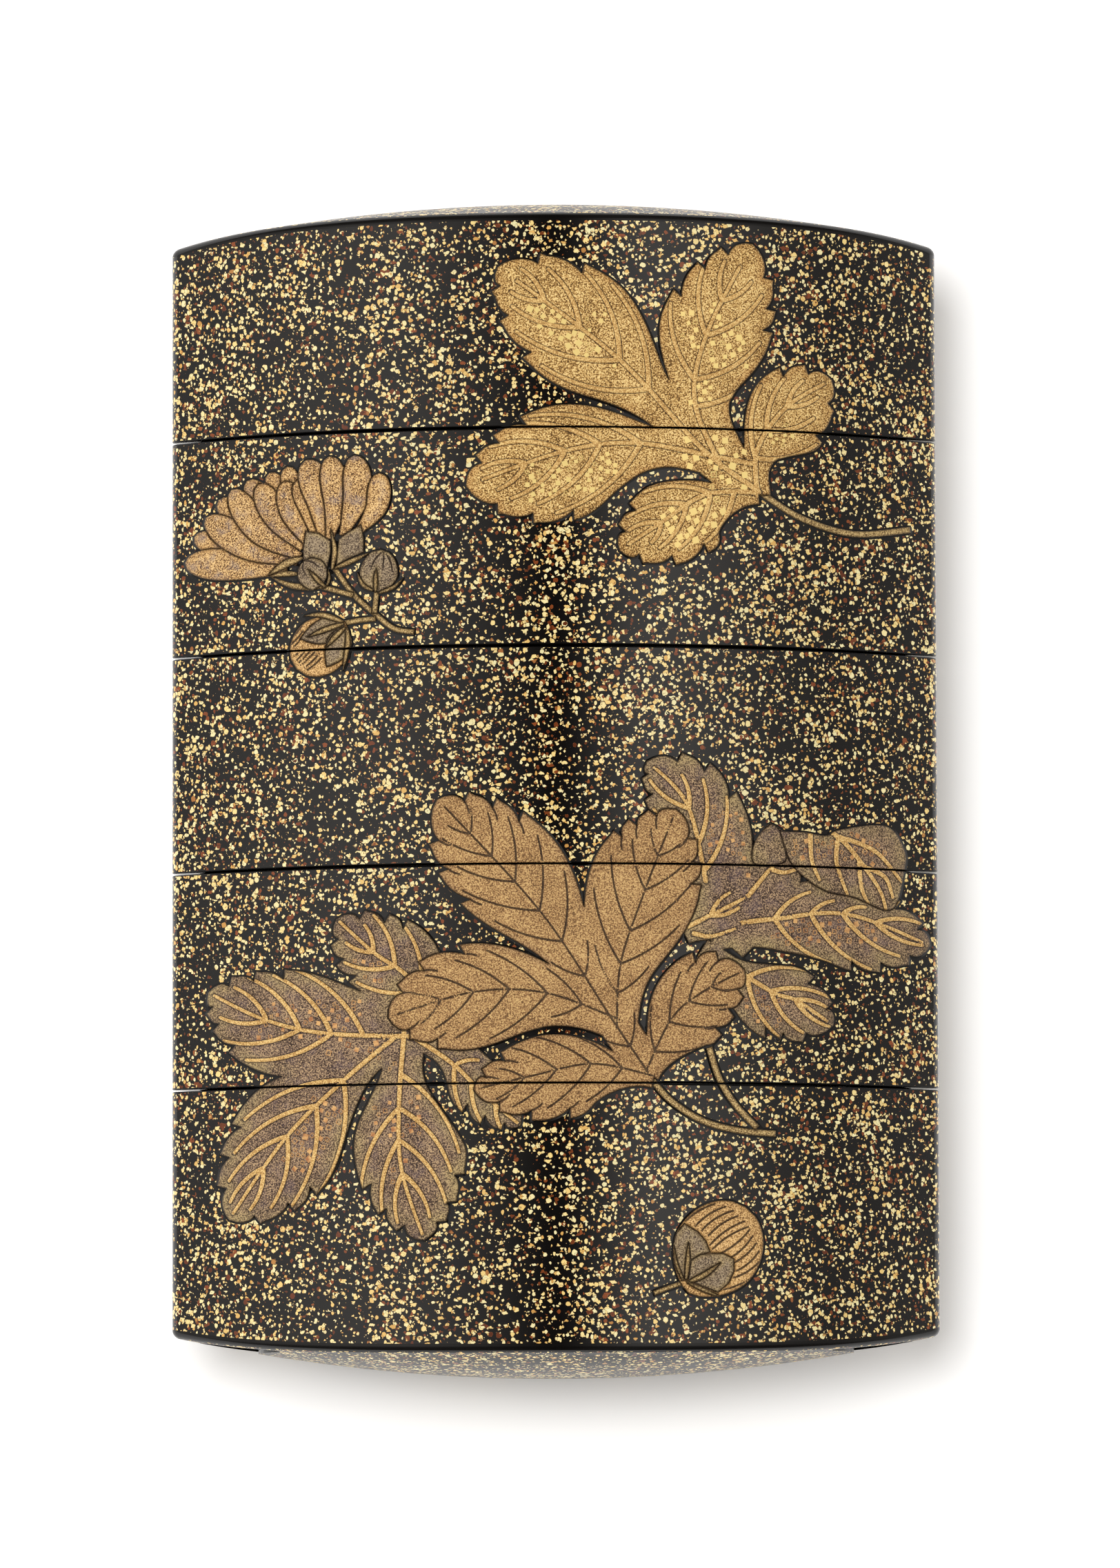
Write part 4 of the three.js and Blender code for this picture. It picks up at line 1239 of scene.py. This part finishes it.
FRONT_LEAF_HEIGHT = 0.5
FRONT_LEAF = (
    {"rib": ((6.9, -21.9), (4.2, -17.9), (-1.1, -9.9), (-8.8, -1.4)), "width": (4.1, 4.3),
     "neck": (1.3, 1.5), "waist": (0.3, 0.3), "widest": (0.74, 0.7),
     "teeth": ((0.72, 0.83, 0.91), (0.79, 0.87, 0.94)),
     "veins": (
        (0.09, (3.2, -19.3), (5.9, -17.5)), (0.33, (-0.3, -13.7), (2.4, -12.1)),
        (0.45, (-4.5, -10.6), (0.7, -6.9)), (0.56, (-6.9, -8.3), (-1.3, -4.2)),
        (0.67, (-7.3, -6.5), (-3.5, -2.8)), (0.77, (-8.4, -4.4), (-5, -2.5)),
        (0.86, (-8, -3.4), (-6.3, -2.2)))},
    {"rib": ((4.6, -18.6), (4.9, -13.8), (6.7, -8.4), (9.1, -2.2)), "width": (4.4, 4), "neck": (1.4, 1.6),
     "widest": (0.64, 0.62), "teeth": ((0.8, 0.87, 0.94), (0.72, 0.81, 0.9)),
     "veins": (
        (0.15, (3, -12.5), (7, -14)), (0.28, (2.9, -8.2), (9.3, -10.9)), (0.43, (4.2, -5.7), (9.7, -8.4)),
        (0.62, (5.8, -4.5), (10, -6)), (0.78, (7.2, -3.7), (9.4, -4.8)))},
    {"rib": ((4.8, -18), (-0.7, -16), (-6.1, -15.9), (-12.5, -17.7)), "width": (4.2, 3.7),
     "neck": (1.6, 1.4), "waist": (0.05, 0.12), "widest": (0.66, 0.66),
     "teeth": ((0.83, 0.93), (0.64, 0.8, 0.91)),
     "veins": (
        (0.17, (-0.3, -17.8), (-0.6, -14.2)), (0.32, (-4.9, -19.4), (-5.1, -12.8)),
        (0.48, (-7.4, -19.3), (-7.5, -13.5)), (0.63, (-9, -18.6), (-9.7, -14.6)),
        (0.77, (-10, -18.2), (-10.7, -16)))},
    {"rib": ((7.4, -22.2), (2.8, -21.3), (-1.8, -22.2), (-6.1, -23.2)), "width": (3.8, 2.8),
     "neck": (0.9, 0.7), "waist": (0, 0.1), "widest": (0.5, 0.6), "teeth": ((0.52, 0.72, 0.88), (0.8, 0.92)),
     "veins": (
        (0.18, (2.3, -24.1), (1.7, -19.3)), (0.35, (-0.6, -24.6), (-1.4, -19.3)),
        (0.54, (-3.2, -24.5), (-3.2, -20.1)), (0.72, (-4.4, -23.9), (-4.4, -21.6)))},
    {"rib": ((6.7, -22), (8.7, -17.9), (11, -15.9), (14.2, -14.2)), "width": (3, 3.6), "neck": (0.8, 1.1),
     "waist": (0.1, 0), "widest": (0.68, 0.5), "teeth": ((0.74, 0.87), (0.62, 0.78, 0.9)),
     "veins": (
        (0.16, (7.2, -17), (11.4, -19.9)), (0.38, (9.4, -14.4), (12.1, -18.4)),
        (0.57, (11.4, -13.6), (12.9, -16.8)), (0.75, (12.5, -14.3), (13, -15.8)))},
)
LEFT_LEAF = (
    {"rib": ((-9.5, -19.2), (-17.1, -18.8), (-21.9, -17.6), (-26.2, -15.4)), "width": (3.8, 4.3),
     "neck": (1, 2.2), "waist": (0.15, 0), "widest": (0.64, 0.58),
     "teeth": ((0.79, 0.89, 0.95), (0.7, 0.84, 0.93)),
     "veins": (
        (0.28, None, (-19.6, -13.9)), (0.42, (-23.3, -20.6), (-21.2, -14.3)),
        (0.56, (-25, -19.1), (-23.1, -14.4)), (0.71, (-25.3, -17.3), (-24.2, -15.1)))},
    {"rib": ((-12, -19.2), (-15.8, -22.3), (-20.3, -26.6), (-24.6, -32.6)), "width": (4.6, 4.1),
     "neck": (1.2, 1), "waist": (0.12, 0.12), "widest": (0.64, 0.58),
     "teeth": ((0.7, 0.81, 0.93), (0.67, 0.79, 0.9)),
     "veins": (
        (0.27, (-17.7, -30.7), (-23.4, -25.1)), (0.42, (-19.9, -31.8), (-24.2, -27.6)),
        (0.59, (-21.4, -31.8), (-24.6, -29.7)), (0.75, (-23, -31.9), (-24.5, -31.3)))},
    {"rib": ((-11.3, -18.8), (-11.7, -24.3), (-11.5, -29.2), (-9.8, -34.4)), "width": (5, 3.4),
     "neck": (1.6, 1.4), "waist": (0.14, 0.14), "widest": (0.6, 0.54),
     "teeth": ((0.75, 0.87, 0.94), (0.68, 0.8, 0.9)),
     "veins": (
        (0.2, (-7.2, -27.9), None), (0.36, (-7.8, -29.3), (-14.6, -30.8)),
        (0.51, (-8.2, -31.6), (-12.9, -32.7)), (0.67, (-9.4, -32.7), (-11.8, -33.1)))},
    {"rib": ((-10.6, -19.2), (-7.6, -21.3), (-5.3, -23.6), (-2.6, -25.9)), "width": (2.2, 2.1),
     "neck": (1.6, 0.6), "waist": (0, 0.2), "widest": (0.55, 0.6),
     "teeth": ((0.62, 0.82), (0.62, 0.76, 0.9)),
     "veins": (
        (0.36, (-5.7, -21), (-6.4, -25.8)), (0.53, None, (-5.1, -26.2)), (0.77, None, (-3.8, -26.5)))},
    {"rib": ((-8.5, -17.5), (-11.2, -14.5), (-13.6, -12.8), (-16.4, -10.2)), "width": (2.9, 3.5),
     "neck": (1.6, 1.6), "widest": (0.6, 0.5), "teeth": ((0.64, 0.77, 0.89), (0.56, 0.73, 0.88)),
     "veins": (
        (0.22, (-14.9, -15), (-11.2, -11)), (0.47, (-15.8, -13.5), (-13.6, -10)),
        (0.65, (-15.7, -12), (-14.3, -10.7)))},
)
RIGHT_LEAF = (
    {"rib": ((12, -11.5), (11.3, -7.6), (9.9, -1.8), (6.9, 1.4)), "width": (3.3, 4.1), "neck": (2.2, 2.2),
     "widest": (0.62, 0.5), "teeth": ((0.74, 0.86, 0.95), (0.65, 0.77, 0.88)), "midrib": (0.28, 0.95),
     "veins": (
        (0.33, None, (12.9, -1.2)), (0.48, (7.4, -2.2), (11.1, 0.1)), (0.67, (7.1, 0), (9.5, 0.4)))},
    {"rib": ((11.5, -11), (16.5, -10.3), (22, -9.8), (28.4, -11.9)), "width": (2.6, 4.1), "neck": (2.2, 1.8),
     "waist": (0, 0.1), "widest": (0.66, 0.66), "teeth": ((0.8, 0.92), (0.68, 0.82, 0.93)),
     "midrib": (0.15, 0.96),
     "veins": (
        (0.29, (19.2, -8.2), (20.7, -13.5)), (0.45, (21, -8.8), (23.8, -13.9)),
        (0.59, (23.4, -9.2), (26, -12.8)), (0.74, (27.7, -10.3), (27.8, -11.9)))},
    {"rib": ((11, -12.6), (16.1, -15.7), (18.1, -16.4), (20.9, -18.2)), "width": (2.4, 3.5),
     "neck": (0.8, 1.2), "waist": (0.2, 0), "widest": (0.62, 0.66),
     "teeth": ((0.72, 0.9), (0.58, 0.74, 0.88)), "midrib": (0.32, 0.95),
     "veins": (
        (0.35, (18.8, -14.1), (16.7, -19.1)), (0.53, (20.6, -16.1), (18.6, -18.8)),
        (0.7, (20.6, -17), (20.6, -18.3)))},
    {"rib": ((9.5, -11.2), (11.5, -10.2), (14.2, -8.8)), "width": (1.9, 1.9), "neck": (1.2, 1.2),
     "widest": (0.5, 0.5), "teeth": ((0.75,), (0.75,)), "midrib": (0.1, 1),
     "veins": (
        (0.46, (13.1, -8.4), (13.8, -9.5)),)},
    {"rib": ((12.5, -12), (15.6, -8), (16.2, -3.1)), "width": (1.5, 2.6), "neck": (2, 2), "midrib": None},
)
# The last lobe of the right leaf rises over the one before it and curls back down across the leaf.
CURLED_LOBE = (
    (16.9, -3.7), (18.7, -3.7), (20.4, -3.9), (21.5, -3.4), (25, -3), (26.4, -4.7), (26.4, -6.4),
    (25.4, -9.3), (22.5, -8.5), (20.4, -8.1), (18.7, -7.1), (17.6, -5.8), (16.9, -3.7),
)
ROLLED_EDGE = ((16.9, -3.7), (16.2, -3.2), (15, -4.5), (15, -6.2), (17.3, -5.9), (16.9, -3.7))
CURLED_VEINS = (
    ((20.9, -3.7), (21.8, -4.4), (23.1, -5.9), (24.5, -7.9), (25, -9.5)),
    ((21.3, -4.1), (21.2, -6), (22, -8.3)), ((19.2, -3.8), (19.3, -5.8), (19.9, -7.3)),
    ((21.5, -4), (24.2, -5), (26.2, -7.2)), ((22.9, -5.9), (23.1, -7.8), (23.7, -9.1)),
    ((23.4, -6.2), (24.9, -6.9), (25.5, -8.4)),
)
RIGHT_LEAF_VEINS = (
    ((14.5, -8.6), (16.3, -6.4), (17.3, -5.6)), ((16.3, -6.5), (16.3, -5.2), (16.8, -4.1)),
    ((16.3, -6.6), (17.2, -6.8), (18.2, -6.5)), ((10.4, -11.5), (11.7, -11.7), (13.5, -11.1)),
    ((8.9, -13), (9.8, -13.1), (10.7, -13.1)), ((25.4, -8.9), (26, -8.8), (26.6, -8.7)),
)
LEAF_STEMS = (
    ((7, -22.2), (8.6, -24), (11, -25.5), (13.7, -26.2), (16.5, -26.4)),
    ((11.5, -20), (12.2, -22.2), (13.4, -24.2), (15.1, -26)),
)

# Dusky powder is silver that has darkened under a thin coat of gold, thicker at the edges of the leaves.
dusky_powder = powdered_lacquer(
    "dusky_gold_over_silver_powder", ((0, "382C26"), (0.35, "6A5648"), (0.65, "907660"), (1, "C0A27C")),
    ((0, "5A4A34"), (0.5, "93805A"), (1, "BCA672")), 1.5, "6E5E64", 0.35,
)
# Matt gold is a coarser powder, strewn evenly and left unpolished.
matt_gold = powdered_lacquer(
    "matt_gold_powder", ((0, "6E5236"), (0.35, "A07A50"), (0.62, "B78F60"), (1, "D8B47A")),
    ((0, "5A412E"), (0.5, "8C6A48"), (1, "B8946A")), 0.7,
)


TOOTH_CUT = 0.9
TOOTH_CUT_IN = 0.35
FRONT_BOW = 0.12


def tooth_cuts(lobes):
    """Short cuts that run in from behind each tooth, as if it lay over the next."""
    lines = []
    for given in lobes:
        lobe = {**LOBE, **given}
        rib = Rib(lobe["rib"])
        for side, leftwards in ((0, 1), (1, -1)):
            for share in lobe["teeth"][side]:
                width = half_width(lobe, side, share)
                start = rib.at(share, leftwards * (width - min(TOOTH_NOTCH, width / 2)))
                inner = width - min(TOOTH_NOTCH, width / 2) - TOOTH_CUT_IN
                end = rib.at(share - TOOTH_CUT / rib.length, leftwards * inner)
                lines.append(bowed(start, end, FRONT_BOW * -leftwards))
    return lines


leaves = raise_relief("leaves", [
    *(raised_area([stalk_outline(stem)], STALK_HEIGHT, stalk_gold) for stem in LEAF_STEMS),
    raised_leaf(LEFT_LEAF, dusky_powder),
    raised_leaf(RIGHT_LEAF, dusky_powder, [Rib(vein).line() for vein in RIGHT_LEAF_VEINS]),
    raised_area([Rib(ROLLED_EDGE).line()[:-1]], LEAF_HEIGHT + 0.06, dusky_powder, crown=(0.06, 0.8)),
    raised_area(
        [Rib(CURLED_LOBE).line()[:-1]], LEAF_HEIGHT + 0.08, dusky_powder,
        [Rib(vein).line() for vein in CURLED_VEINS], vein_half=VEIN_WIDTH / 2, raised=True, crown=(0.06, 1.2),
    ),
    raised_area(
        [blade_outline(lobe) for lobe in FRONT_LEAF], FRONT_LEAF_HEIGHT, matt_gold,
        leaf_veins(FRONT_LEAF, FRONT_BOW) + tooth_cuts(FRONT_LEAF), vein_half=0.08, crown=(0.1, 2.2),
    ),
])

BACK_SQUARES = (
    (-18.5, -17.8, 4, 1.4, 0, 34, 0.33), (-15.5, -19.7, 2.3, 0.9, 0, 18, 0.4),
    (-18.3, -26.5, 2.8, 1.3, 60, 38, 0.4), (-11.9, -25.2, 1.8, 1.5, 0, 18, 0.34),
    (-12, -29.2, 0.8, 0.8, 0, 4, 0.38), (-14.3, -14.2, 1.4, 0.8, 0, 9, 0.36),
    (-12.5, -21.5, 1.5, 1.5, 0, 7, 0.3), (12.6, -3.6, 1.6, 2.2, 0, 24, 0.3),
    (13.2, -6.3, 1.4, 1.2, 0, 10, 0.32), (19.6, -4.9, 1.8, 0.8, 0, 16, 0.36),
    (23.2, -5.2, 1.6, 1.2, -30, 16, 0.38), (18.6, -11.2, 2.4, 1, 0, 18, 0.38),
    (22, -11.2, 2.2, 0.9, 0, 20, 0.38), (15.5, -17, 1.6, 1.4, 0, 14, 0.32),
)

# Older foil is worn, and redder where the lacquer under it shows through. The eye gets dull coppery squares.
copper_foil, tree, shader = material("reddish_gold_foil")
worn = node(tree, "ShaderNodeTexNoise", {}, {
    "Vector": node(tree, "ShaderNodeTexCoord").outputs["Object"], "Scale": 1 / (0.5 * MM), "Detail": 2,
})
connect(tree, shader, {
    "Base Color": node(tree, "ShaderNodeValToRGB", {"stops": ((0.35, "A8714A"), (0.6, "DDAE72"))}, {0: worn}),
    "Metallic": 0.35, "Roughness": 0.35, "Specular IOR Level": 0.3,
})
lay_squares("back_leaf_gold_squares", leaves.values(), BACK_SQUARES, copper_foil, 0.6, 23)


# ---- The flower and its buds ----
# An open flower of many narrow petals seen from the side, with two buds and a half-open one on the same
# stalk. The petals are mottled gold powder, each modelled over the next. The cups are strewn with silver and
# gold.

FLOWER_HEIGHT = 0.4
PETAL = {"neck": (0.3, 0.3), "widest": (0.68, 0.68), "swell": 1.2, "taper": 0.5}
BUD = {"neck": (0, 0), "widest": (0.5, 0.5), "swell": 0.6, "taper": 0.5}
SEPAL = {"neck": (0.08, 0.08), "widest": (0.4, 0.4), "swell": 0.8, "taper": 1}
BACK_PETALS = (
    # root, middle, tip, half-width
    ((-22, 17.3), (-24.4, 18.1), (-27.3, 19.2), 0.9), ((-21, 18.5), (-23, 19.8), (-25.4, 21.9), 0.95),
    ((-20, 19.5), (-21.5, 21), (-23.2, 23.2), 0.9), ((-19.2, 20), (-20.4, 21.6), (-21.5, 23.7), 0.8),
    ((-19, 20.5), (-19.7, 22.3), (-20.1, 24.1), 0.75),
)
PETALS = (
    ((-20.1, 16.2), (-24.1, 16.8), (-28, 17.3), 1.2), ((-19.3, 16.8), (-23, 18.2), (-26.4, 20.6), 1.15),
    ((-19.1, 17.2), (-22.1, 19.2), (-24.4, 22.6), 1.05), ((-18.9, 17.8), (-20.8, 20.1), (-22.3, 22.9), 1),
    ((-18.6, 18.2), (-19.7, 20.5), (-20.3, 23), 0.95), ((-17.9, 18.5), (-18.4, 20.8), (-19.4, 23), 0.85),
    ((-17.4, 18.4), (-17.6, 21.5), (-18.7, 24.5), 1.2), ((-16.9, 18.4), (-16.4, 21.4), (-16.9, 24.7), 1.05),
    ((-15.9, 18.6), (-14.8, 21.8), (-15, 24.7), 1.1), ((-14.7, 18.9), (-13.3, 20.8), (-13.1, 23.3), 0.9),
)
FLOWER_STALKS = (
    ((-16.5, 16.2), (-15.1, 14.2), (-13.4, 12.6), (-12, 11.5), (-10.5, 11.2)), ((-17.6, 14.9), (-15.1, 14.1)),
    ((-13.3, 14.6), (-13.5, 12.7)), ((-16, 12), (-14.7, 12.2), (-13.4, 12.3)),
)
CUP_SIDES = (
    ((-18.7, 19.1), (-17.7, 18.9), (-16.8, 18.3), (-16.8, 17.4), (-17.2, 15.6), (-18.9, 16), (-18.9, 17.8)),
    ((-16.2, 18.4), (-15.5, 18.9), (-14.5, 19.4), (-14.3, 18.4), (-14.3, 17.3), (-15.4, 16.9), (-16.4, 16.4)),
)
CUP_SEPALS = (
    ((-16.7, 16.1), (-16.5, 17.6), (-16.8, 19.2), 0.2), ((-16.5, 16.2), (-15.2, 16.7), (-13.8, 17.3), 0.2),
    ((-18.9, 17.1), (-20.2, 16.7), (-21.6, 15.9), 0.3), ((-19.2, 15.9), (-20.3, 15.95), (-21.5, 15.8), 0.22),
    ((-17.3, 14.8), (-19.6, 15), (-21.4, 15.8), 0.25),
)
ROUND_BUDS = (
    # root, tip, half-width and where it is widest, and the cuts between its folds
    (((-18.2, 14.6), (-18.2, 17.1), 1.15, 0.5), (
        ((-18.9, 16.8), (-18.9, 16.2), (-18.6, 15.7)), ((-18.7, 16.9), (-18.1, 16.7), (-17.7, 16.3)))),
    (((-13.3, 14.3), (-13, 17.5), 1.45, 0.42), (
        ((-12.9, 17.3), (-13.4, 16.8), (-13.8, 16)), ((-12.8, 17.3), (-12.8, 16.6), (-12.9, 15.9)),
        ((-12.7, 17.3), (-12.3, 16.6), (-12.1, 15.6)))),
)
ROUND_BUD_SEPALS = (
    ((-17.2, 14.8), (-17.9, 15.5), (-18.5, 16.2), 0.17), ((-17.1, 14.9), (-16.9, 15.5), (-17, 16.2), 0.12),
    ((-13.4, 14.3), (-13.4, 15.3), (-13.35, 16.1), 0.16), ((-13.6, 14.4), (-14.4, 14.9), (-14.8, 15.9), 0.15),
    ((-13.2, 14.2), (-12.1, 14.6), (-11.3, 15.3), 0.15),
)
OPENING_BUD = ((-15.7, 12.1), (-19.4, 8.7), 2.2, 0.5)
OPENING_BUD_CUTS = (
    ((-18.9, 12.1), (-19.9, 11)), ((-18.9, 11.6), (-19.8, 10.6)), ((-19.1, 11), (-19.6, 10.4)),
    ((-19.2, 10), (-19.6, 9.7)), ((-18.8, 10), (-19.4, 9.4)), ((-18.4, 10), (-19.2, 9.2)),
    ((-17.9, 10.1), (-19.1, 9)), ((-17.7, 9.8), (-18.8, 8.8)), ((-17.5, 9.5), (-18.6, 8.6)),
)
OPENING_BUD_LEAVES = (
    ((-15.8, 12), (-17.6, 11.4), (-19.1, 11), 0.95), ((-15.7, 11.7), (-16.3, 10.2), (-17.1, 8.8), 0.95),
)
OPENING_BUD_SEPALS = (
    ((-15.8, 12.1), (-17.4, 12.7), (-18.9, 12.7), 0.22), ((-15.8, 12), (-17.2, 11.6), (-18.6, 11.1), 0.2),
    ((-15.7, 11.7), (-16.5, 11), (-17.2, 10.2), 0.2), ((-15.6, 11.7), (-15.5, 10.5), (-15.9, 8.4), 0.2),
)


def bud(root, tip, half, widest):
    return [blade_outline({**BUD, "rib": (root, tip), "width": (half, half), "widest": (widest, widest)})]


def petals(kind, given, height, finish, crown):
    """Areas for petals of a kind, each with its root, middle, tip and half-width."""
    blades = [{**kind, "rib": one[:3], "width": (one[3], one[3])} for one in given]
    return [raised_area([blade_outline(blade)], height, finish, crown=crown) for blade in blades]


def sepals(given):
    return petals(SEPAL, given, FLOWER_HEIGHT, stalk_gold, (0.05, 0.2))


def cup_sides(given, reach):
    """Areas for the folded sides of a green cup, each given by its corners."""
    outlines = [spaced([*side, side[0]], 0.2)[:-1] for side in given]
    return [raised_area([outline], FLOWER_HEIGHT, cup_powder, crown=(0.1, reach)) for outline in outlines]


# Three powders: gold over silver for the petals, mottled where the silver shows, dull silver with a little
# gold for the cups, and plain warm gold for the folded petals of the buds.
petal_gold = powdered_lacquer(
    "mottled_petal_gold_powder", ((0, "4A3424"), (0.35, "A27C52"), (0.6, "D0A66E"), (1, "F2CE92")),
    ((0, "6A4C30"), (0.5, "A87E4C"), (1, "D4AA6C")), 0.5, "8A7F80", 0.5,
)
cup_powder = powdered_lacquer(
    "silver_and_gold_cup_powder", ((0, "463A32"), (0.4, "7E6C58"), (1, "B09C7E")),
    ((0, "66553F"), (0.5, "9A8258"), (1, "C0A878")), 0.45,
)
bud_gold = powdered_lacquer(
    "bud_gold_powder", ((0, "7A5A3A"), (0.4, "C0965E"), (1, "EEC68A")),
    ((0, "6A4C2C"), (0.5, "A67C46"), (1, "CCA062")), 0.3,
)

raise_relief("flower_spray", [
    *(raised_area([stalk_outline(knots, 0.42)], STALK_HEIGHT, stalk_gold) for knots in FLOWER_STALKS),
    *petals(PETAL, BACK_PETALS, FLOWER_HEIGHT - 0.05, petal_gold, (0.06, 0.8)),
    *petals(PETAL, PETALS, FLOWER_HEIGHT, petal_gold, (0.08, 0.8)),
    *cup_sides(CUP_SIDES, 0.9),
    *sepals(CUP_SEPALS),
    *(raised_area(
        bud(*shape), FLOWER_HEIGHT, cup_powder, [Rib(cut).line() for cut in cuts],
        vein_half=0.05, crown=(0.12, 1),
    ) for shape, cuts in ROUND_BUDS),
    raised_area(
        bud(*OPENING_BUD), FLOWER_HEIGHT - 0.05, bud_gold, [bowed(*cut, 0.08) for cut in OPENING_BUD_CUTS],
        vein_half=0.05, vein_taper=0.1, crown=(0.08, 1),
    ),
    *petals(SEPAL, OPENING_BUD_LEAVES, FLOWER_HEIGHT, cup_powder, (0.08, 0.8)),
    *sepals(ROUND_BUD_SEPALS + OPENING_BUD_SEPALS),
])


# ---- The lone bud ----
# A fat round bud at the foot end. Its folded petals are cut as curved stripes in the gold, and a silvery
# calyx covers half of it.

LONE_BUD = ((9.9, -38.4), (14.2, -31.9), 3.3, 0.5)
LONE_BUD_STEM = ((10.2, -37.4), (8.6, -37.9), (7.3, -38.4))
STRIPES = (
    # where a fold starts at the calyx, where it ends at the bud's edge, how far it bows to its left
    ((9.7, -33), (11.9, -31.7), 0.12), ((10.4, -33.4), (12.7, -31.9), 0.14),
    ((10.9, -33.7), (13.3, -32.2), 0.15), ((11.4, -34.1), (13.6, -32.6), 0.14),
    ((11.5, -34.8), (14.1, -33), 0.13), ((11.7, -35.1), (14.4, -33.4), 0.12),
    ((12.3, -35.4), (14.5, -33.6), -0.12), ((13.1, -35.7), (14.7, -34.1), -0.12),
    ((13.3, -36.1), (15, -34.6), -0.13), ((13.5, -36.7), (15.2, -35.2), -0.14),
    ((13.3, -37.2), (15.2, -36), -0.14), ((12.5, -38.1), (15, -36.9), -0.13),
)
CALYX = (
    ((9.6, -33.2), (10.6, -33.8), (11.2, -34.5), (11.5, -35.3), (10.6, -35.6), (10.1, -36.2), (9.9, -37.3),
     (9.5, -37.3), (9, -36), (8.75, -34.8), (9, -33.9)),
    ((10.1, -35.9), (10.8, -35.5), (11.6, -35.4), (12.5, -35.4), (13.3, -35.8), (13.3, -36.7), (12.9, -37.6),
     (12.1, -38.3), (11, -37.9), (9.9, -37.4)),
)
CALYX_SEPALS = (
    ((9.7, -37.4), (9.85, -36), (9.9, -34.6), 0.17), ((9.8, -37.6), (11.1, -37), (12.3, -36.1), 0.2),
    ((9.5, -37.4), (9, -36.2), (8.8, -34.8), 0.12), ((9.9, -37.6), (11.2, -38.2), (12.4, -38.7), 0.15),
)

raise_relief("lone_bud", [
    raised_area([stalk_outline(LONE_BUD_STEM, 0.36)], STALK_HEIGHT, stalk_gold),
    raised_area(
        bud(*LONE_BUD), FLOWER_HEIGHT - 0.04, bud_gold, [bowed(*stripe) for stripe in STRIPES],
        vein_half=0.06, vein_taper=0.2, crown=(0.14, 2.2),
    ),
    *cup_sides(CALYX, 1),
    *sepals(CALYX_SEPALS),
])
